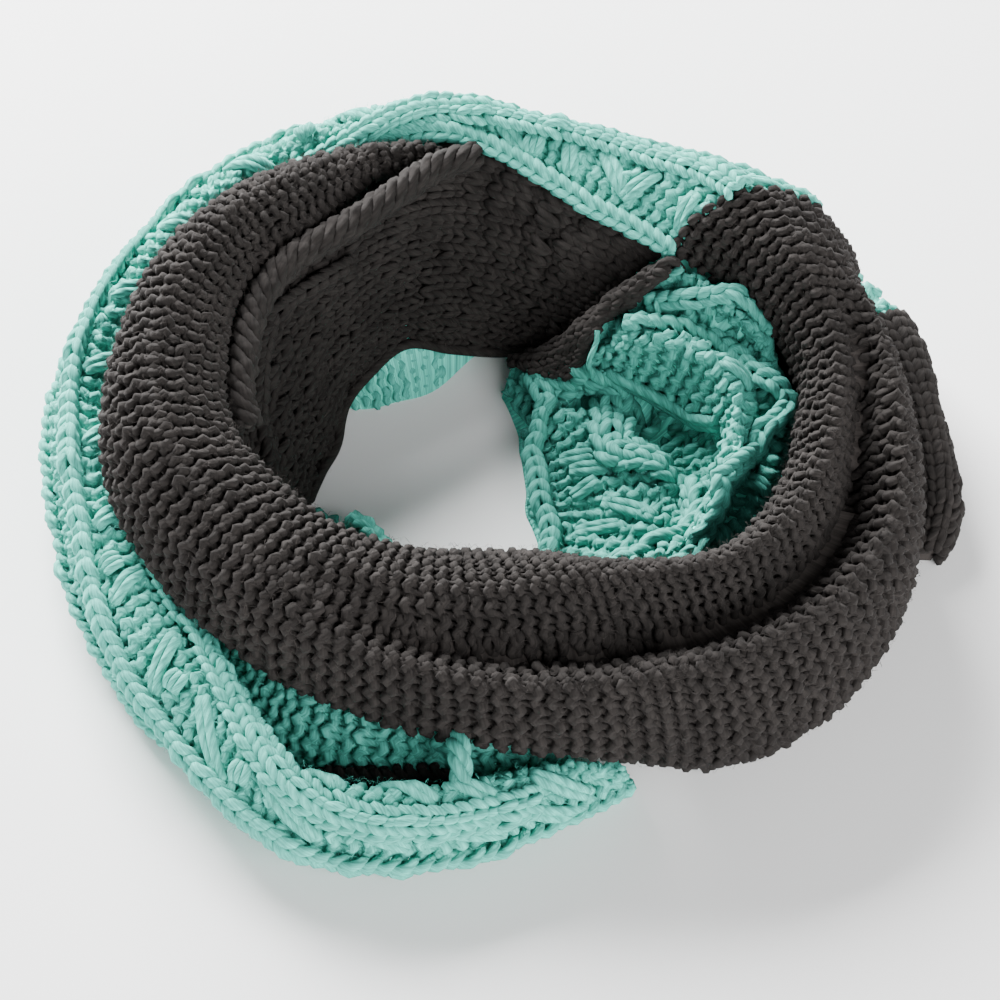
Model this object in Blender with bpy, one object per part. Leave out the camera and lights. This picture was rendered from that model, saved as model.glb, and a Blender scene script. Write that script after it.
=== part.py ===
"""Infinity scarf of two knitted bands, wound in two turns and lying on a table.

Metres, +Z up. Every stretch is a loft of upright sections that stand round the middle of the coil.
A section is a row of a table: its bearing, the slant of its plane, and the named points of the cloth,
each as reach from the middle and height over the table, in millimetres.
"""

import math

import bmesh
import bpy
import numpy as np

MM = 0.001
COLLECTION = "infinity_scarf"

# Where the middle of the coil lies, so that the origin is under the middle of the whole scarf
COIL_CENTRE_X = -0.0204
COIL_CENTRE_Y = 0.0091

# Cloth
WALL = 6.0
LAYER_GAP = 0.4

# Raised cables of the mint band, in millimetres along and across the knitting
ROPE_SPACING = 46.0
ROPE_HALF_WIDTH = 7.5
ROPE_SWING = 2.0
LEAF_SWING = 15.0
LEAF_HALF_WIDTH = 6.5
CABLE_REPEAT = 70.0
CABLE_HEIGHT = 3.6

# Colours, linear
CHARCOAL = (0.027, 0.025, 0.023)
MINT = (0.26, 0.55, 0.47)
WOOL_ROUGHNESS = 0.92

# Charcoal turn: foot, bulge and crest of the outer roll, valley, crest, bulge and foot of the inner roll,
# then the two points of the underside
CHARCOAL_TURN = (
    (32, 15, (174, 40), (182, 52), (172, 76), (156, 92), (138, 97), (120, 88), (111, 68), (128, 58), (158, 46)),
    (20, 6, (171, 40), (175, 52), (169, 78), (153, 90), (139, 92), (128, 76), (126, 58), (134, 52), (158, 44)),
    (10, 0, (168, 2), (179, 48), (174, 78), (157, 78), (147, 83), (136, 70), (134, 50), (136, 0), (166, 0)),
    (-6, 0, (172, 2), (184, 44), (176, 73), (157, 65), (146, 79), (133, 66), (131, 44), (133, 0), (170, 0)),
    (-22, 0, (176, 2), (188, 34), (178, 66), (158, 58), (144, 77), (129, 62), (128, 40), (130, 0), (174, 0)),
    (-38, 0, (172, 2), (184, 27), (170, 64), (149, 56), (137, 77), (121, 63), (120, 42), (122, 0), (170, 0)),
    (-52, 0, (161, 2), (173, 26), (158, 64), (137, 55), (118, 76), (98, 62), (99, 42), (104, 12), (144, 2)),
    (-66, 0, (145, 20), (155, 31), (145, 62), (125, 56), (103, 75), (79, 62), (83, 42), (96, 36), (122, 28)),
    (-80, 0, (136, 26), (144, 35), (135, 61), (117, 57), (97, 72), (71, 60), (77, 42), (92, 39), (118, 33)),
    (-98, 0, (128, 28), (133, 38), (126, 62), (112, 62), (92, 72), (69, 60), (74, 44), (88, 42), (112, 35)),
    (-120, 0, (122, 31), (129, 42), (124, 66), (110, 74), (92, 76), (72, 64), (76, 50), (90, 46), (110, 37)),
    (-142, 0, (120, 35), (128, 46), (122, 70), (106, 80), (90, 80), (74, 68), (78, 56), (90, 51), (108, 41)),
    (-165, 0, (122, 39), (131, 50), (125, 76), (110, 88), (94, 84), (81, 72), (85, 62), (96, 56), (111, 45)),
    (-190, 0, (122, 43), (131, 55), (124, 80), (110, 91), (96, 87), (84, 76), (88, 66), (98, 60), (112, 49)),
    (-215, 0, (125, 47), (133, 61), (126, 83), (112, 93), (99, 88), (91, 77), (94, 67), (103, 61), (115, 52)),
    (-240, 0, (126, 51), (133, 64), (127, 81), (115, 90), (104, 88), (95, 80), (97, 70), (107, 63), (116, 56)),
    (-256, 0, (124, 60), (130, 67), (127, 77), (121, 83), (115, 84), (109, 79), (110, 72), (115, 67), (120, 63)),
    (-268, 0, (122, 66), (125, 71), (125, 77), (123, 79), (120, 79), (117, 76), (117, 72), (118, 69), (120, 67)),
)

# Inner wall: from its top, tucked under the turn over it, to its foot
INNER_WALL = (
    (184, 0, (85, 54), (78, 42), (68, 28), (58, 15), (53, 4)),
    (165, 0, (88, 58), (80, 46), (68, 32), (58, 17), (51, 3)),
    (145, 0, (92, 62), (84, 50), (73, 34), (61, 18), (53, 3)),
    (132, 0, (96, 66), (88, 54), (77, 38), (67, 23), (61, 8)),
    (118, 0, (104, 70), (93, 57), (81, 42), (71, 28), (66, 13)),
    (104, 0, (113, 74), (101, 60), (87, 44), (77, 29), (73, 15)),
    (90, 0, (125, 76), (110, 62), (94, 44), (78, 28), (70, 13)),
    (76, 0, (118, 75), (106, 61), (94, 44), (82, 26), (74, 9)),
    (64, 6, (108, 73), (100, 61), (92, 46), (83, 29), (76, 12)),
    (51, 19, (113, 68), (102, 54), (89, 40), (79, 25), (75, 14)),
)

# Outer mint turn: foot, bulge and crest outside, crest, lip and foot inside, then the hidden side down to
# the tongue that reaches over the table; the last number is the distance of the inner rope from the inner foot
MINT_TURN = (
    (32.2, 15, (171, 2), (181, 44), (169, 76), (150, 94), (125, 90), (111, 67), (114, 20), (114, 0), 62),
    (55, 8, (150, 2), (159, 54), (150, 78), (134, 86), (119, 83), (108, 71), (116, 50), (112, 0), 50),
    (75, 0, (140, 2), (147, 58), (141, 78), (131, 85), (121, 82), (115, 75), (118, 50), (96, 0), 40),
    (93, 0, (147, 2), (156, 57), (151, 77), (143, 83), (135, 80), (129, 75), (118, 50), (64, 0), 28),
    (112, 0, (153, 2), (162, 49), (157, 66), (148, 74), (140, 73), (128, 60), (112, 45), (59, 0), 20),
    (126, 0, (154, 2), (163, 42), (158, 59), (150, 66), (142, 64), (126, 50), (108, 40), (63, 0), 16),
    (140, 0, (154, 2), (163, 33), (158, 49), (150, 58), (142, 58), (126, 45), (106, 36), (84, 0), 16),
    (165, 0, (150, 2), (160, 23), (154, 40), (147, 49), (139, 49), (123, 39), (104, 32), (90, 0), 18),
    (190, 0, (142, 2), (151, 20), (146, 36), (139, 44), (132, 44), (121, 35), (108, 24), (104, 0), 18),
    (212, 0, (144, 2), (154, 18), (149, 34), (138, 42), (131, 40), (121, 33), (112, 20), (108, 0), 18),
    (233, 0, (153, 2), (163, 16), (156, 33), (143, 39), (135, 35), (130, 25), (129, 12), (129, 0), 18),
    (251, 0, (168, 2), (179, 14), (171, 29), (160, 35), (154, 30), (150, 18), (150, 8), (151, 0), 16),
    (268, 0, (164, 2), (174, 13), (167, 28), (158, 34), (153, 30), (149, 20), (149, 8), (150, 0), 12),
    (284, 0, (152, 2), (162, 12), (156, 25), (150, 28), (146, 26), (142, 19), (142, 8), (143, 0), 12),
    (296, 0, (146, 2), (153, 7), (150, 11), (147, 12), (144, 11), (141, 8), (141, 5), (142, 0), 10),
)

# Inner mint turn: outer foot, outside and crest of the upper fold, slit, ridge of the big fold, hollow, low hump,
# rim at the hole
MINT_INNER_TURN = (
    (70, 0, (72, 6), (71.5, 9), (71, 11), (70, 12), (68.5, 11), (67, 10), (64, 8), (61, 4)),
    (60, 0, (76, 14), (75, 17), (73.5, 19), (71, 19), (68, 18), (63, 15), (57, 11), (51, 4)),
    (52, 0, (82, 26), (81, 29), (79, 31), (76, 30), (72, 27), (65, 19), (56, 14), (45, 4)),
    (46, 0, (92, 40), (91, 43), (88, 45), (83, 43), (78, 39), (66, 20), (56, 18), (40, 5)),
    (39, 0, (112, 56), (110, 62), (104, 63), (95, 48), (85, 46), (68, 21), (56, 19), (37, 5)),
    (30, 0, (120, 56), (119, 65), (112, 67), (103, 51), (87, 52), (71, 21), (58, 20), (34, 5)),
    (20, 0, (130, 50), (128, 60), (121, 63), (114, 49), (98, 57), (81, 21), (61, 21), (32, 5)),
    (10, 0, (136, 40), (132, 49), (126, 52), (119, 46), (106, 58), (88, 20), (65, 22), (31, 5)),
    (0, 0, (136, 34), (132, 44), (126, 48), (118, 44), (109, 57), (92, 19), (74, 24), (30, 5)),
    (-10, 0, (132, 32), (128, 41), (123, 45), (115, 42), (107, 56), (93, 19), (83, 25), (31, 5)),
    (-20, 0, (127, 32), (123, 39), (118, 43), (112, 42), (106, 52), (98, 23), (91, 26), (35, 5)),
    (-33, 0, (119, 30), (114, 37), (109, 41), (104, 42), (98, 44), (87, 26), (79, 24), (42, 5)),
    (-46, 0, (104, 26), (100, 32), (95, 36), (90, 37), (86, 36), (76, 22), (66, 20), (48, 5)),
    (-58, 0, (112, 3), (109, 10), (104, 16), (96, 19), (88, 20), (76, 20), (64, 17), (48, 5)),
    (-72, 0, (136, 3), (133, 12), (128, 19), (116, 24), (102, 26), (84, 25), (66, 20), (44, 5)),
    (-95, 0, (145, 2), (140, 13), (132, 23), (120, 28), (106, 30), (86, 29), (66, 23), (40, 5)),
    (-118, 0, (146, 2), (137, 15), (128, 25), (116, 29), (102, 31), (82, 29), (62, 22), (36, 5)),
    (-132, 0, (126, 2), (121, 14), (115, 23), (106, 27), (94, 28), (78, 26), (60, 20), (32, 5)),
    (-152, 0, (104, 2), (102.5, 12), (99, 20), (92, 24), (84, 24), (72, 22), (56, 17), (31, 5)),
    (-172, 0, (98, 2), (96.5, 10), (93, 16), (86, 19), (80, 20), (72, 18), (60, 13), (46, 5)),
)

# Curled selvedge along the top of the inner wall: bearing, reach and height of its middle
EDGE_CURL = (
    (84, 119, 77),
    (92, 110, 79),
    (101, 98, 79),
    (114, 89, 77),
    (125, 86.5, 76),
    (134, 87, 75),
    (146, 85.5, 72),
    (155, 83, 70),
    (168, 79, 67),
    (180, 78, 63),
    (188, 75, 58),
)
EDGE_CURL_RADIUS = 4.6

# Outer selvedge on the right: inner foot, inner top, rim top, rim, outer foot
OUTER_EDGE = (
    (20.5, 0, (168, 0), (172, 32), (184, 42), (196, 35), (190, 0)),
    (14, 0, (168, 0), (176, 32), (188, 39), (196, 32), (190, 0)),
    (7, 0, (168, 0), (180, 28), (189, 34), (195, 27), (190, 0)),
    (0, 0, (168, 0), (182, 22), (191, 27), (198, 20), (193, 0)),
    (-5, 0, (168, 0), (182, 15), (192, 20), (200, 13), (196, 0)),
    (-9, 0, (170, 0), (182, 8), (189, 11), (195, 7), (193, 0)),
)

# Lower mint layer under the seam on the right: inner foot, inner top, outer top, bulge, outer foot
MINT_UNDER_SEAM = (
    (31.6, 15, (140, 0), (146, 34), (172, 36), (187, 30), (182, 0)),
    (26, 8, (140, 0), (146, 34), (172, 38), (191, 34), (184, 0)),
    (21, 0, (140, 0), (146, 34), (171, 38), (193, 35), (186, 0)),
)

# How finely each stretch is divided: degrees a section, steps across
CHARCOAL_DIVISION = (5.0, 22)
WALL_DIVISION = (6.0, 10)
MINT_DIVISION = (3.0, 24)
MINT_INNER_DIVISION = (4.0, 21)
EDGE_DIVISION = (5.0, 8)


def through_rows(places, values, wanted):
    """A smooth curve through the rows of a table, read at the wanted places."""
    places = np.asarray(places, float)
    values = np.asarray(values, float)
    step = np.diff(places)[:, None]
    slope = np.diff(values, axis=0) / step
    tangent = np.empty_like(values)
    tangent[1:-1] = (slope[:-1] * step[1:] + slope[1:] * step[:-1]) / (step[1:] + step[:-1])
    tangent[0] = slope[0]
    tangent[-1] = slope[-1]
    row = np.clip(np.searchsorted(places, wanted, side="right") - 1, 0, len(places) - 2)
    span = step[row]
    t = (np.asarray(wanted, float) - places[row])[:, None] / span
    start = (2 * t**3 - 3 * t**2 + 1) * values[row] + (t**3 - 2 * t**2 + t) * span * tangent[row]
    end = (3 * t**2 - 2 * t**3) * values[row + 1] + (t**3 - t**2) * span * tangent[row + 1]
    return start + end


def along_points(points, steps):
    """A smooth line through a section's points, in equal steps of its own parameter."""
    padded = np.vstack([2 * points[0] - points[1], points, 2 * points[-1] - points[-2]])
    place = np.linspace(0, len(points) - 1, steps + 1)
    knot = np.minimum(place.astype(int), len(points) - 2)
    t = (place - knot)[:, None]
    a, b, c, d = (padded[knot + k] for k in range(4))
    return 0.5 * (2 * b + (c - a) * t + (2 * a - 5 * b + 4 * c - d) * t**2 + (3 * b - a - 3 * c + d) * t**3)


def table_values(table):
    """Bearings, and one flat row of slant, points and extras for each, sorted by bearing."""
    flat = []
    for row in sorted(table, key=lambda entry: entry[0]):
        flat.append([x for entry in row for x in (entry if isinstance(entry, tuple) else (entry,))])
    flat = np.array(flat, float)
    return flat[:, 0], flat[:, 1:]


def bearings_of(table, degrees):
    """Evenly spaced bearings from the first row's to the last row's."""
    first = min(row[0] for row in table)
    last = max(row[0] for row in table)
    return np.linspace(first, last, max(2, round((last - first) / degrees)) + 1)


def section_rows(table, bearings, count):
    """For each bearing the slant, the first count points, and what is left in the row."""
    places, values = table_values(table)
    rows = through_rows(places, values, bearings)
    return rows[:, 0], rows[:, 1 : 1 + 2 * count].reshape(len(bearings), count, 2), rows[:, 1 + 2 * count :]


def length_along(line):
    """Distance from the line's start at each of its points."""
    return np.concatenate([[0.0], np.cumsum(np.linalg.norm(np.diff(line, axis=0), axis=1))])


def outward(line):
    """Unit normals of an open line in its section, on its left side."""
    run = np.gradient(line, axis=0)
    run /= np.linalg.norm(run, axis=1)[:, None]
    return np.stack([-run[:, 1], run[:, 0]], axis=1)


def cable_relief(along, across):
    """Height of the raised cables: straight ropes with a leaf strand winding between each two."""
    turn = 2 * math.pi * along / CABLE_REPEAT
    nearest_rope = across - ROPE_SPACING * np.round(across / ROPE_SPACING) - ROPE_SWING * np.sin(turn)
    cell = np.floor(across / ROPE_SPACING)
    middle = (cell + 0.5) * ROPE_SPACING
    leaf = across - middle - LEAF_SWING * np.sin(turn + math.pi * cell)
    rope_height = np.clip(1 - (nearest_rope / ROPE_HALF_WIDTH) ** 2, 0, 1) ** 0.5
    leaf_height = np.clip(1 - (leaf / LEAF_HALF_WIDTH) ** 2, 0, 1) ** 0.5
    return CABLE_HEIGHT * np.maximum(rope_height, 0.85 * leaf_height)


def place(section, bearing, slant, share):
    """World points of a section line: share runs from 0 outside to 1 inside and turns with the slant."""
    angle = np.radians(bearing + slant * (share - 0.5))
    reach = section[:, 0] * MM
    x = COIL_CENTRE_X + reach * np.cos(angle)
    y = COIL_CENTRE_Y + reach * np.sin(angle)
    return np.stack([x, y, section[:, 1] * MM], axis=1)


def charcoal_turn_rings():
    """Closed rings of the charcoal turn: its skin of two rolls, then its underside."""
    bearings = bearings_of(CHARCOAL_TURN, CHARCOAL_DIVISION[0])
    slants, points, _ = section_rows(CHARCOAL_TURN, bearings, 9)
    points[:, :, 1] = np.maximum(points[:, :, 1], 0.0)
    rings = []
    for bearing, slant, section in zip(bearings, slants, points):
        skin = along_points(section[:7], CHARCOAL_DIVISION[1])
        share = np.linspace(0, 1, len(skin))
        ring = np.vstack([skin, section[7:]])
        rings.append(place(ring, bearing, slant, np.append(share, (0.75, 0.25))))
    return rings


def inner_wall_rings():
    """Closed rings of the inner wall: its knit face, and its back one cloth thickness behind."""
    bearings = bearings_of(INNER_WALL, WALL_DIVISION[0])
    slants, points, _ = section_rows(INNER_WALL, bearings, 5)
    rings = []
    for bearing, slant, section in zip(bearings, slants, points):
        face = along_points(section, WALL_DIVISION[1])
        back = face + WALL * outward(face)
        back[:, 1] = np.maximum(back[:, 1], 0.5)
        ring = np.vstack([face, back[::-1]])
        share = np.linspace(0, 1, len(face))
        rings.append(place(ring, bearing, slant, np.append(share, share[::-1])))
    return rings


def mint_turn_rings():
    """Closed rings of the outer mint turn, its skin raised along the cables."""
    bearings = bearings_of(MINT_TURN, MINT_DIVISION[0])
    slants, points, extras = section_rows(MINT_TURN, bearings, 8)
    middle = points[:, 2:4].mean(axis=1)[:, 0]
    along = np.concatenate([[0.0], np.cumsum(np.radians(np.diff(bearings)) * middle[1:])])
    rings = []
    for k, (bearing, slant, section) in enumerate(zip(bearings, slants, points)):
        skin = along_points(section[:6], MINT_DIVISION[1])
        from_foot = length_along(skin)
        across = from_foot[-1] - from_foot - extras[k, 0]
        ends = np.clip(np.minimum(from_foot, from_foot[-1] - from_foot) / ROPE_HALF_WIDTH, 0, 1)
        skin = skin - outward(skin) * (cable_relief(along[k], across) * ends)[:, None]
        share = np.linspace(0, 1, len(skin))
        ring = np.vstack([skin, section[6:], [section[0, 0], 0.0]])
        rings.append(place(ring, bearing, slant, np.append(share, (1.0, 1.0, 0.0))))
    return rings


def mint_inner_turn_rings():
    """Closed rings of the inner mint turn, raised along the cables where it shows."""
    bearings = bearings_of(MINT_INNER_TURN, MINT_INNER_DIVISION[0])
    slants, points, _ = section_rows(MINT_INNER_TURN, bearings, 8)
    middle = points[:, 4, 0]
    along = np.concatenate([[0.0], np.cumsum(np.radians(np.diff(bearings)) * middle[1:])])
    rings = []
    for k, (bearing, slant, section) in enumerate(zip(bearings, slants, points)):
        skin = along_points(section, MINT_INNER_DIVISION[1])
        from_top = length_along(skin)
        across = from_top - 0.35 * from_top[-1]
        ends = np.clip(np.minimum(from_top, from_top[-1] - from_top) / ROPE_SPACING * 2, 0, 1)
        skin = skin - outward(skin) * (0.7 * cable_relief(along[k], across) * ends)[:, None]
        skin[:, 1] = np.maximum(skin[:, 1], 1.0)
        ring = np.vstack([skin, [section[-1, 0] + 1.0, 0.0], [section[0, 0] - 1.0, 0.0]])
        rings.append(place(ring, bearing, slant, np.full(len(ring), 0.5)))
    return rings


def plain_rings(table, division):
    """Closed rings of a low stretch that stands on the table, its first and last points at the foot."""
    bearings = bearings_of(table, division[0])
    slants, points, _ = section_rows(table, bearings, 5)
    rings = []
    for bearing, slant, section in zip(bearings, slants, points):
        ring = along_points(section, division[1])
        rings.append(place(ring, bearing, slant, np.full(len(ring), 0.5)))
    return rings


def edge_curl_rings():
    """Rings of the curled selvedge, a tube along the top of the inner wall."""
    table = [(row[0], 0, (row[1], row[2])) for row in EDGE_CURL]
    bearings = bearings_of(table, EDGE_DIVISION[0])
    _, points, _ = section_rows(table, bearings, 1)
    turn = np.linspace(0, 2 * math.pi, EDGE_DIVISION[1] + 2, endpoint=False)
    circle = EDGE_CURL_RADIUS * np.stack([np.cos(turn), np.sin(turn)], axis=1)
    return [place(points[k, 0] + circle, bearings[k], 0.0, np.zeros(len(circle))) for k in range(len(bearings))]


def loft(rings):
    """A closed mesh through the rings, with a face over each end."""
    mesh = bmesh.new()
    loops = [[mesh.verts.new(point) for point in ring] for ring in rings]
    for near, far in zip(loops, loops[1:]):
        count = len(near)
        for k in range(count):
            mesh.faces.new((near[k], near[(k + 1) % count], far[(k + 1) % count], far[k]))
    mesh.faces.new(list(reversed(loops[0])))
    mesh.faces.new(loops[-1])
    bmesh.ops.triangulate(mesh, faces=mesh.faces)
    bmesh.ops.recalc_face_normals(mesh, faces=mesh.faces)
    if mesh.calc_volume(signed=True) < 0:
        bmesh.ops.reverse_faces(mesh, faces=mesh.faces)
    return mesh


def yarn_material(name, colour):
    """Matt woollen yarn of one colour."""
    material = bpy.data.materials.new(name)
    material.use_nodes = True
    shader = material.node_tree.nodes["Principled BSDF"]
    shader.inputs["Base Color"].default_value = (*colour, 1.0)
    shader.inputs["Roughness"].default_value = WOOL_ROUGHNESS
    shader.inputs["Metallic"].default_value = 0.0
    material.diffuse_color = (*colour, 1.0)
    return material


def add_stretch(name, rings, material, collection):
    """One stretch of the scarf as a named object with its yarn."""
    solid = loft(rings)
    data = bpy.data.meshes.new(name)
    solid.to_mesh(data)
    solid.free()
    data.materials.append(material)
    data.shade_smooth()
    stretch = bpy.data.objects.new(name, data)
    collection.objects.link(stretch)
    return stretch


def grown_copy(stretch, growth):
    """The whole stretch made larger all round, to cut its neighbours with."""
    cutter = bpy.data.objects.new(stretch.name + "_cutter", stretch.data.copy())
    bpy.context.scene.collection.objects.link(cutter)
    count = len(cutter.data.vertices)
    points = np.empty(3 * count)
    normals = np.empty(3 * count)
    cutter.data.vertices.foreach_get("co", points)
    cutter.data.vertices.foreach_get("normal", normals)
    cutter.data.vertices.foreach_set("co", points + growth * MM * normals)
    return cutter


def keep_largest(data):
    """Leaves only the largest closed body of a mesh, as a cut can leave crumbs."""
    mesh = bmesh.new()
    mesh.from_mesh(data)
    left = set(mesh.verts)
    bodies = []
    while left:
        reached = [left.pop()]
        body = set(reached)
        while reached:
            here = reached.pop()
            fresh = {edge.other_vert(here) for edge in here.link_edges} & left
            left -= fresh
            body |= fresh
            reached.extend(fresh)
        bodies.append(body)
    largest = max(bodies, key=len)
    bmesh.ops.delete(mesh, geom=[v for v in mesh.verts if v not in largest], context="VERTS")
    mesh.to_mesh(data)
    mesh.free()


def tuck_under(stretch, cutters):
    """Cuts a stretch to lie under its upper neighbours with a small gap."""
    for cutter in cutters:
        cut = stretch.modifiers.new("cut", "BOOLEAN")
        cut.operation = "DIFFERENCE"
        cut.solver = "MANIFOLD"
        cut.object = cutter
        graph = bpy.context.evaluated_depsgraph_get()
        result = bpy.data.meshes.new_from_object(stretch.evaluated_get(graph))
        stretch.modifiers.clear()
        stretch.data = result
    keep_largest(stretch.data)


def build():
    """Clears the scene and builds the scarf, each stretch cut to lie under those before it."""
    for thing in list(bpy.data.objects):
        bpy.data.objects.remove(thing, do_unlink=True)
    collection = bpy.data.collections.new(COLLECTION)
    bpy.context.scene.collection.children.link(collection)
    charcoal = yarn_material("charcoal_yarn", CHARCOAL)
    mint = yarn_material("mint_yarn", MINT)
    stretches = (
        ("charcoal_turn", charcoal_turn_rings(), charcoal),
        ("charcoal_edge_curl", edge_curl_rings(), charcoal),
        ("charcoal_inner_wall", inner_wall_rings(), charcoal),
        ("charcoal_outer_edge", plain_rings(OUTER_EDGE, EDGE_DIVISION), charcoal),
        ("mint_under_seam", plain_rings(MINT_UNDER_SEAM, EDGE_DIVISION), mint),
        ("mint_inner_turn", mint_inner_turn_rings(), mint),
        ("mint_turn", mint_turn_rings(), mint),
    )
    cutters = []
    for name, rings, material in stretches:
        stretch = add_stretch(name, rings, material, collection)
        grown = [grown_copy(stretch, growth) for growth in (LAYER_GAP, 0.3 * LAYER_GAP)]
        tuck_under(stretch, cutters)
        cutters.extend(grown)
    for cutter in cutters:
        bpy.data.objects.remove(cutter, do_unlink=True)


build()
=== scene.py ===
"""Infinity scarf of two chunky knitted bands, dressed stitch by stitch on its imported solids."""

import math

import bmesh
import bpy
import numpy as np
from bpy.props import FloatProperty, FloatVectorProperty, PointerProperty
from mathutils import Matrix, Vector


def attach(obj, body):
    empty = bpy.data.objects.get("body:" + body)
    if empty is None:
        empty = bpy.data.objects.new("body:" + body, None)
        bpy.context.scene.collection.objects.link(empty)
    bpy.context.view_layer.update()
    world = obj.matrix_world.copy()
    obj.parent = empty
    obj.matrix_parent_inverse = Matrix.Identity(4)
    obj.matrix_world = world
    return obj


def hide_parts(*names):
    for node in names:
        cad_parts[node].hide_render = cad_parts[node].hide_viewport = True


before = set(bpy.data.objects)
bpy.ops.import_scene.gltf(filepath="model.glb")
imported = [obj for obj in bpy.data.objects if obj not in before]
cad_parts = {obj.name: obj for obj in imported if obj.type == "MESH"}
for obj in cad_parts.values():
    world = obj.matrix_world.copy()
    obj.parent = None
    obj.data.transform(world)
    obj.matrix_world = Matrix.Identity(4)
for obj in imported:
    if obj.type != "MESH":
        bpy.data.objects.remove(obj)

bl_info = {
    "name": "Infinity scarf",
    "version": (1, 0, 0),
    "blender": (4, 5, 0),
    "location": "3D View > Sidebar > Scarf",
    "description": "Knits the two bands of a loop scarf, stitch by stitch, on its solids",
    "category": "Object",
}

MM = 0.001
UP = np.array([0.0, 0.0, 1.0])
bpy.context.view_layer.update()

# Where the middle of the coil lies
COIL_CENTRE = (-0.0204, 0.0091)

# Section tables, in degrees and millimetres: each row is the bearing and the slant of a section, then the
# reach and the height of its named points in turn

# Charcoal turn: foot, bulge and crest of the outer roll, valley, crest, bulge and foot of the inner roll,
# then the two points of the underside
CHARCOAL_TURN = (
    (32, 15, 174, 40, 182, 52, 172, 76, 156, 92, 138, 97, 120, 88, 111, 68, 128, 58, 158, 46),
    (20, 6, 169, 40, 171, 52, 165, 77, 153, 90, 139, 92, 128, 76, 126, 58, 134, 52, 158, 44),
    (10, 0, 166, 2, 173, 48, 167, 77, 157, 78, 147, 83, 136, 70, 134, 50, 136, 0, 166, 0),
    (-6, 0, 170, 2, 180, 44, 172, 72, 157, 65, 146, 79, 133, 66, 131, 44, 133, 0, 170, 0),
    (-22, 0, 175, 2, 186, 34, 176, 66, 158, 58, 144, 77, 129, 62, 128, 40, 130, 0, 174, 0),
    (-38, 0, 172, 2, 184, 27, 170, 64, 149, 56, 137, 77, 121, 63, 120, 42, 122, 0, 170, 0),
    (-52, 0, 161, 2, 173, 26, 158, 64, 137, 55, 118, 76, 98, 62, 99, 42, 104, 12, 144, 2),
    (-66, 0, 145, 20, 155, 31, 145, 62, 125, 56, 103, 75, 79, 62, 83, 42, 96, 36, 122, 28),
    (-80, 0, 136, 26, 144, 35, 135, 61, 117, 57, 97, 72, 71, 60, 77, 42, 92, 39, 118, 33),
    (-98, 0, 128, 28, 133, 38, 126, 62, 112, 62, 92, 72, 69, 60, 74, 44, 88, 42, 112, 35),
    (-120, 0, 122, 31, 129, 42, 124, 66, 110, 74, 92, 76, 72, 64, 76, 50, 90, 46, 110, 37),
    (-142, 0, 120, 35, 128, 46, 122, 70, 106, 80, 90, 80, 74, 68, 78, 56, 90, 51, 108, 41),
    (-165, 0, 122, 39, 131, 50, 125, 76, 110, 88, 94, 84, 81, 72, 85, 62, 96, 56, 111, 45),
    (-190, 0, 122, 43, 131, 55, 124, 80, 110, 91, 96, 87, 84, 76, 88, 66, 98, 60, 112, 49),
    (-215, 0, 125, 47, 133, 61, 126, 83, 112, 93, 99, 88, 91, 77, 94, 67, 103, 61, 115, 52),
    (-240, 0, 126, 51, 133, 64, 127, 81, 115, 90, 104, 88, 95, 80, 97, 70, 107, 63, 116, 56),
    (-256, 0, 124, 60, 130, 67, 127, 77, 121, 83, 115, 84, 109, 79, 110, 72, 115, 67, 120, 63),
    (-268, 0, 122, 66, 125, 71, 125, 77, 123, 79, 120, 79, 117, 76, 117, 72, 118, 69, 120, 67),
)

# Inner wall: from its top, tucked under the turn over it, to its foot
INNER_WALL = (
    (184, 0, 85, 54, 78, 42, 68, 28, 58, 15, 53, 4),
    (165, 0, 88, 58, 80, 46, 68, 32, 58, 17, 51, 3),
    (145, 0, 92, 62, 84, 50, 73, 34, 61, 18, 53, 3),
    (132, 0, 96, 66, 88, 54, 77, 38, 67, 23, 61, 8),
    (118, 0, 104, 70, 93, 57, 81, 42, 71, 28, 66, 13),
    (104, 0, 113, 74, 101, 60, 87, 44, 77, 29, 73, 15),
    (90, 0, 125, 76, 110, 62, 94, 44, 78, 28, 70, 13),
    (76, 0, 118, 75, 106, 61, 94, 44, 82, 26, 74, 9),
    (64, 6, 108, 73, 100, 61, 92, 46, 83, 29, 76, 12),
    (51, 19, 113, 68, 102, 54, 89, 40, 79, 25, 75, 14),
)

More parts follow.
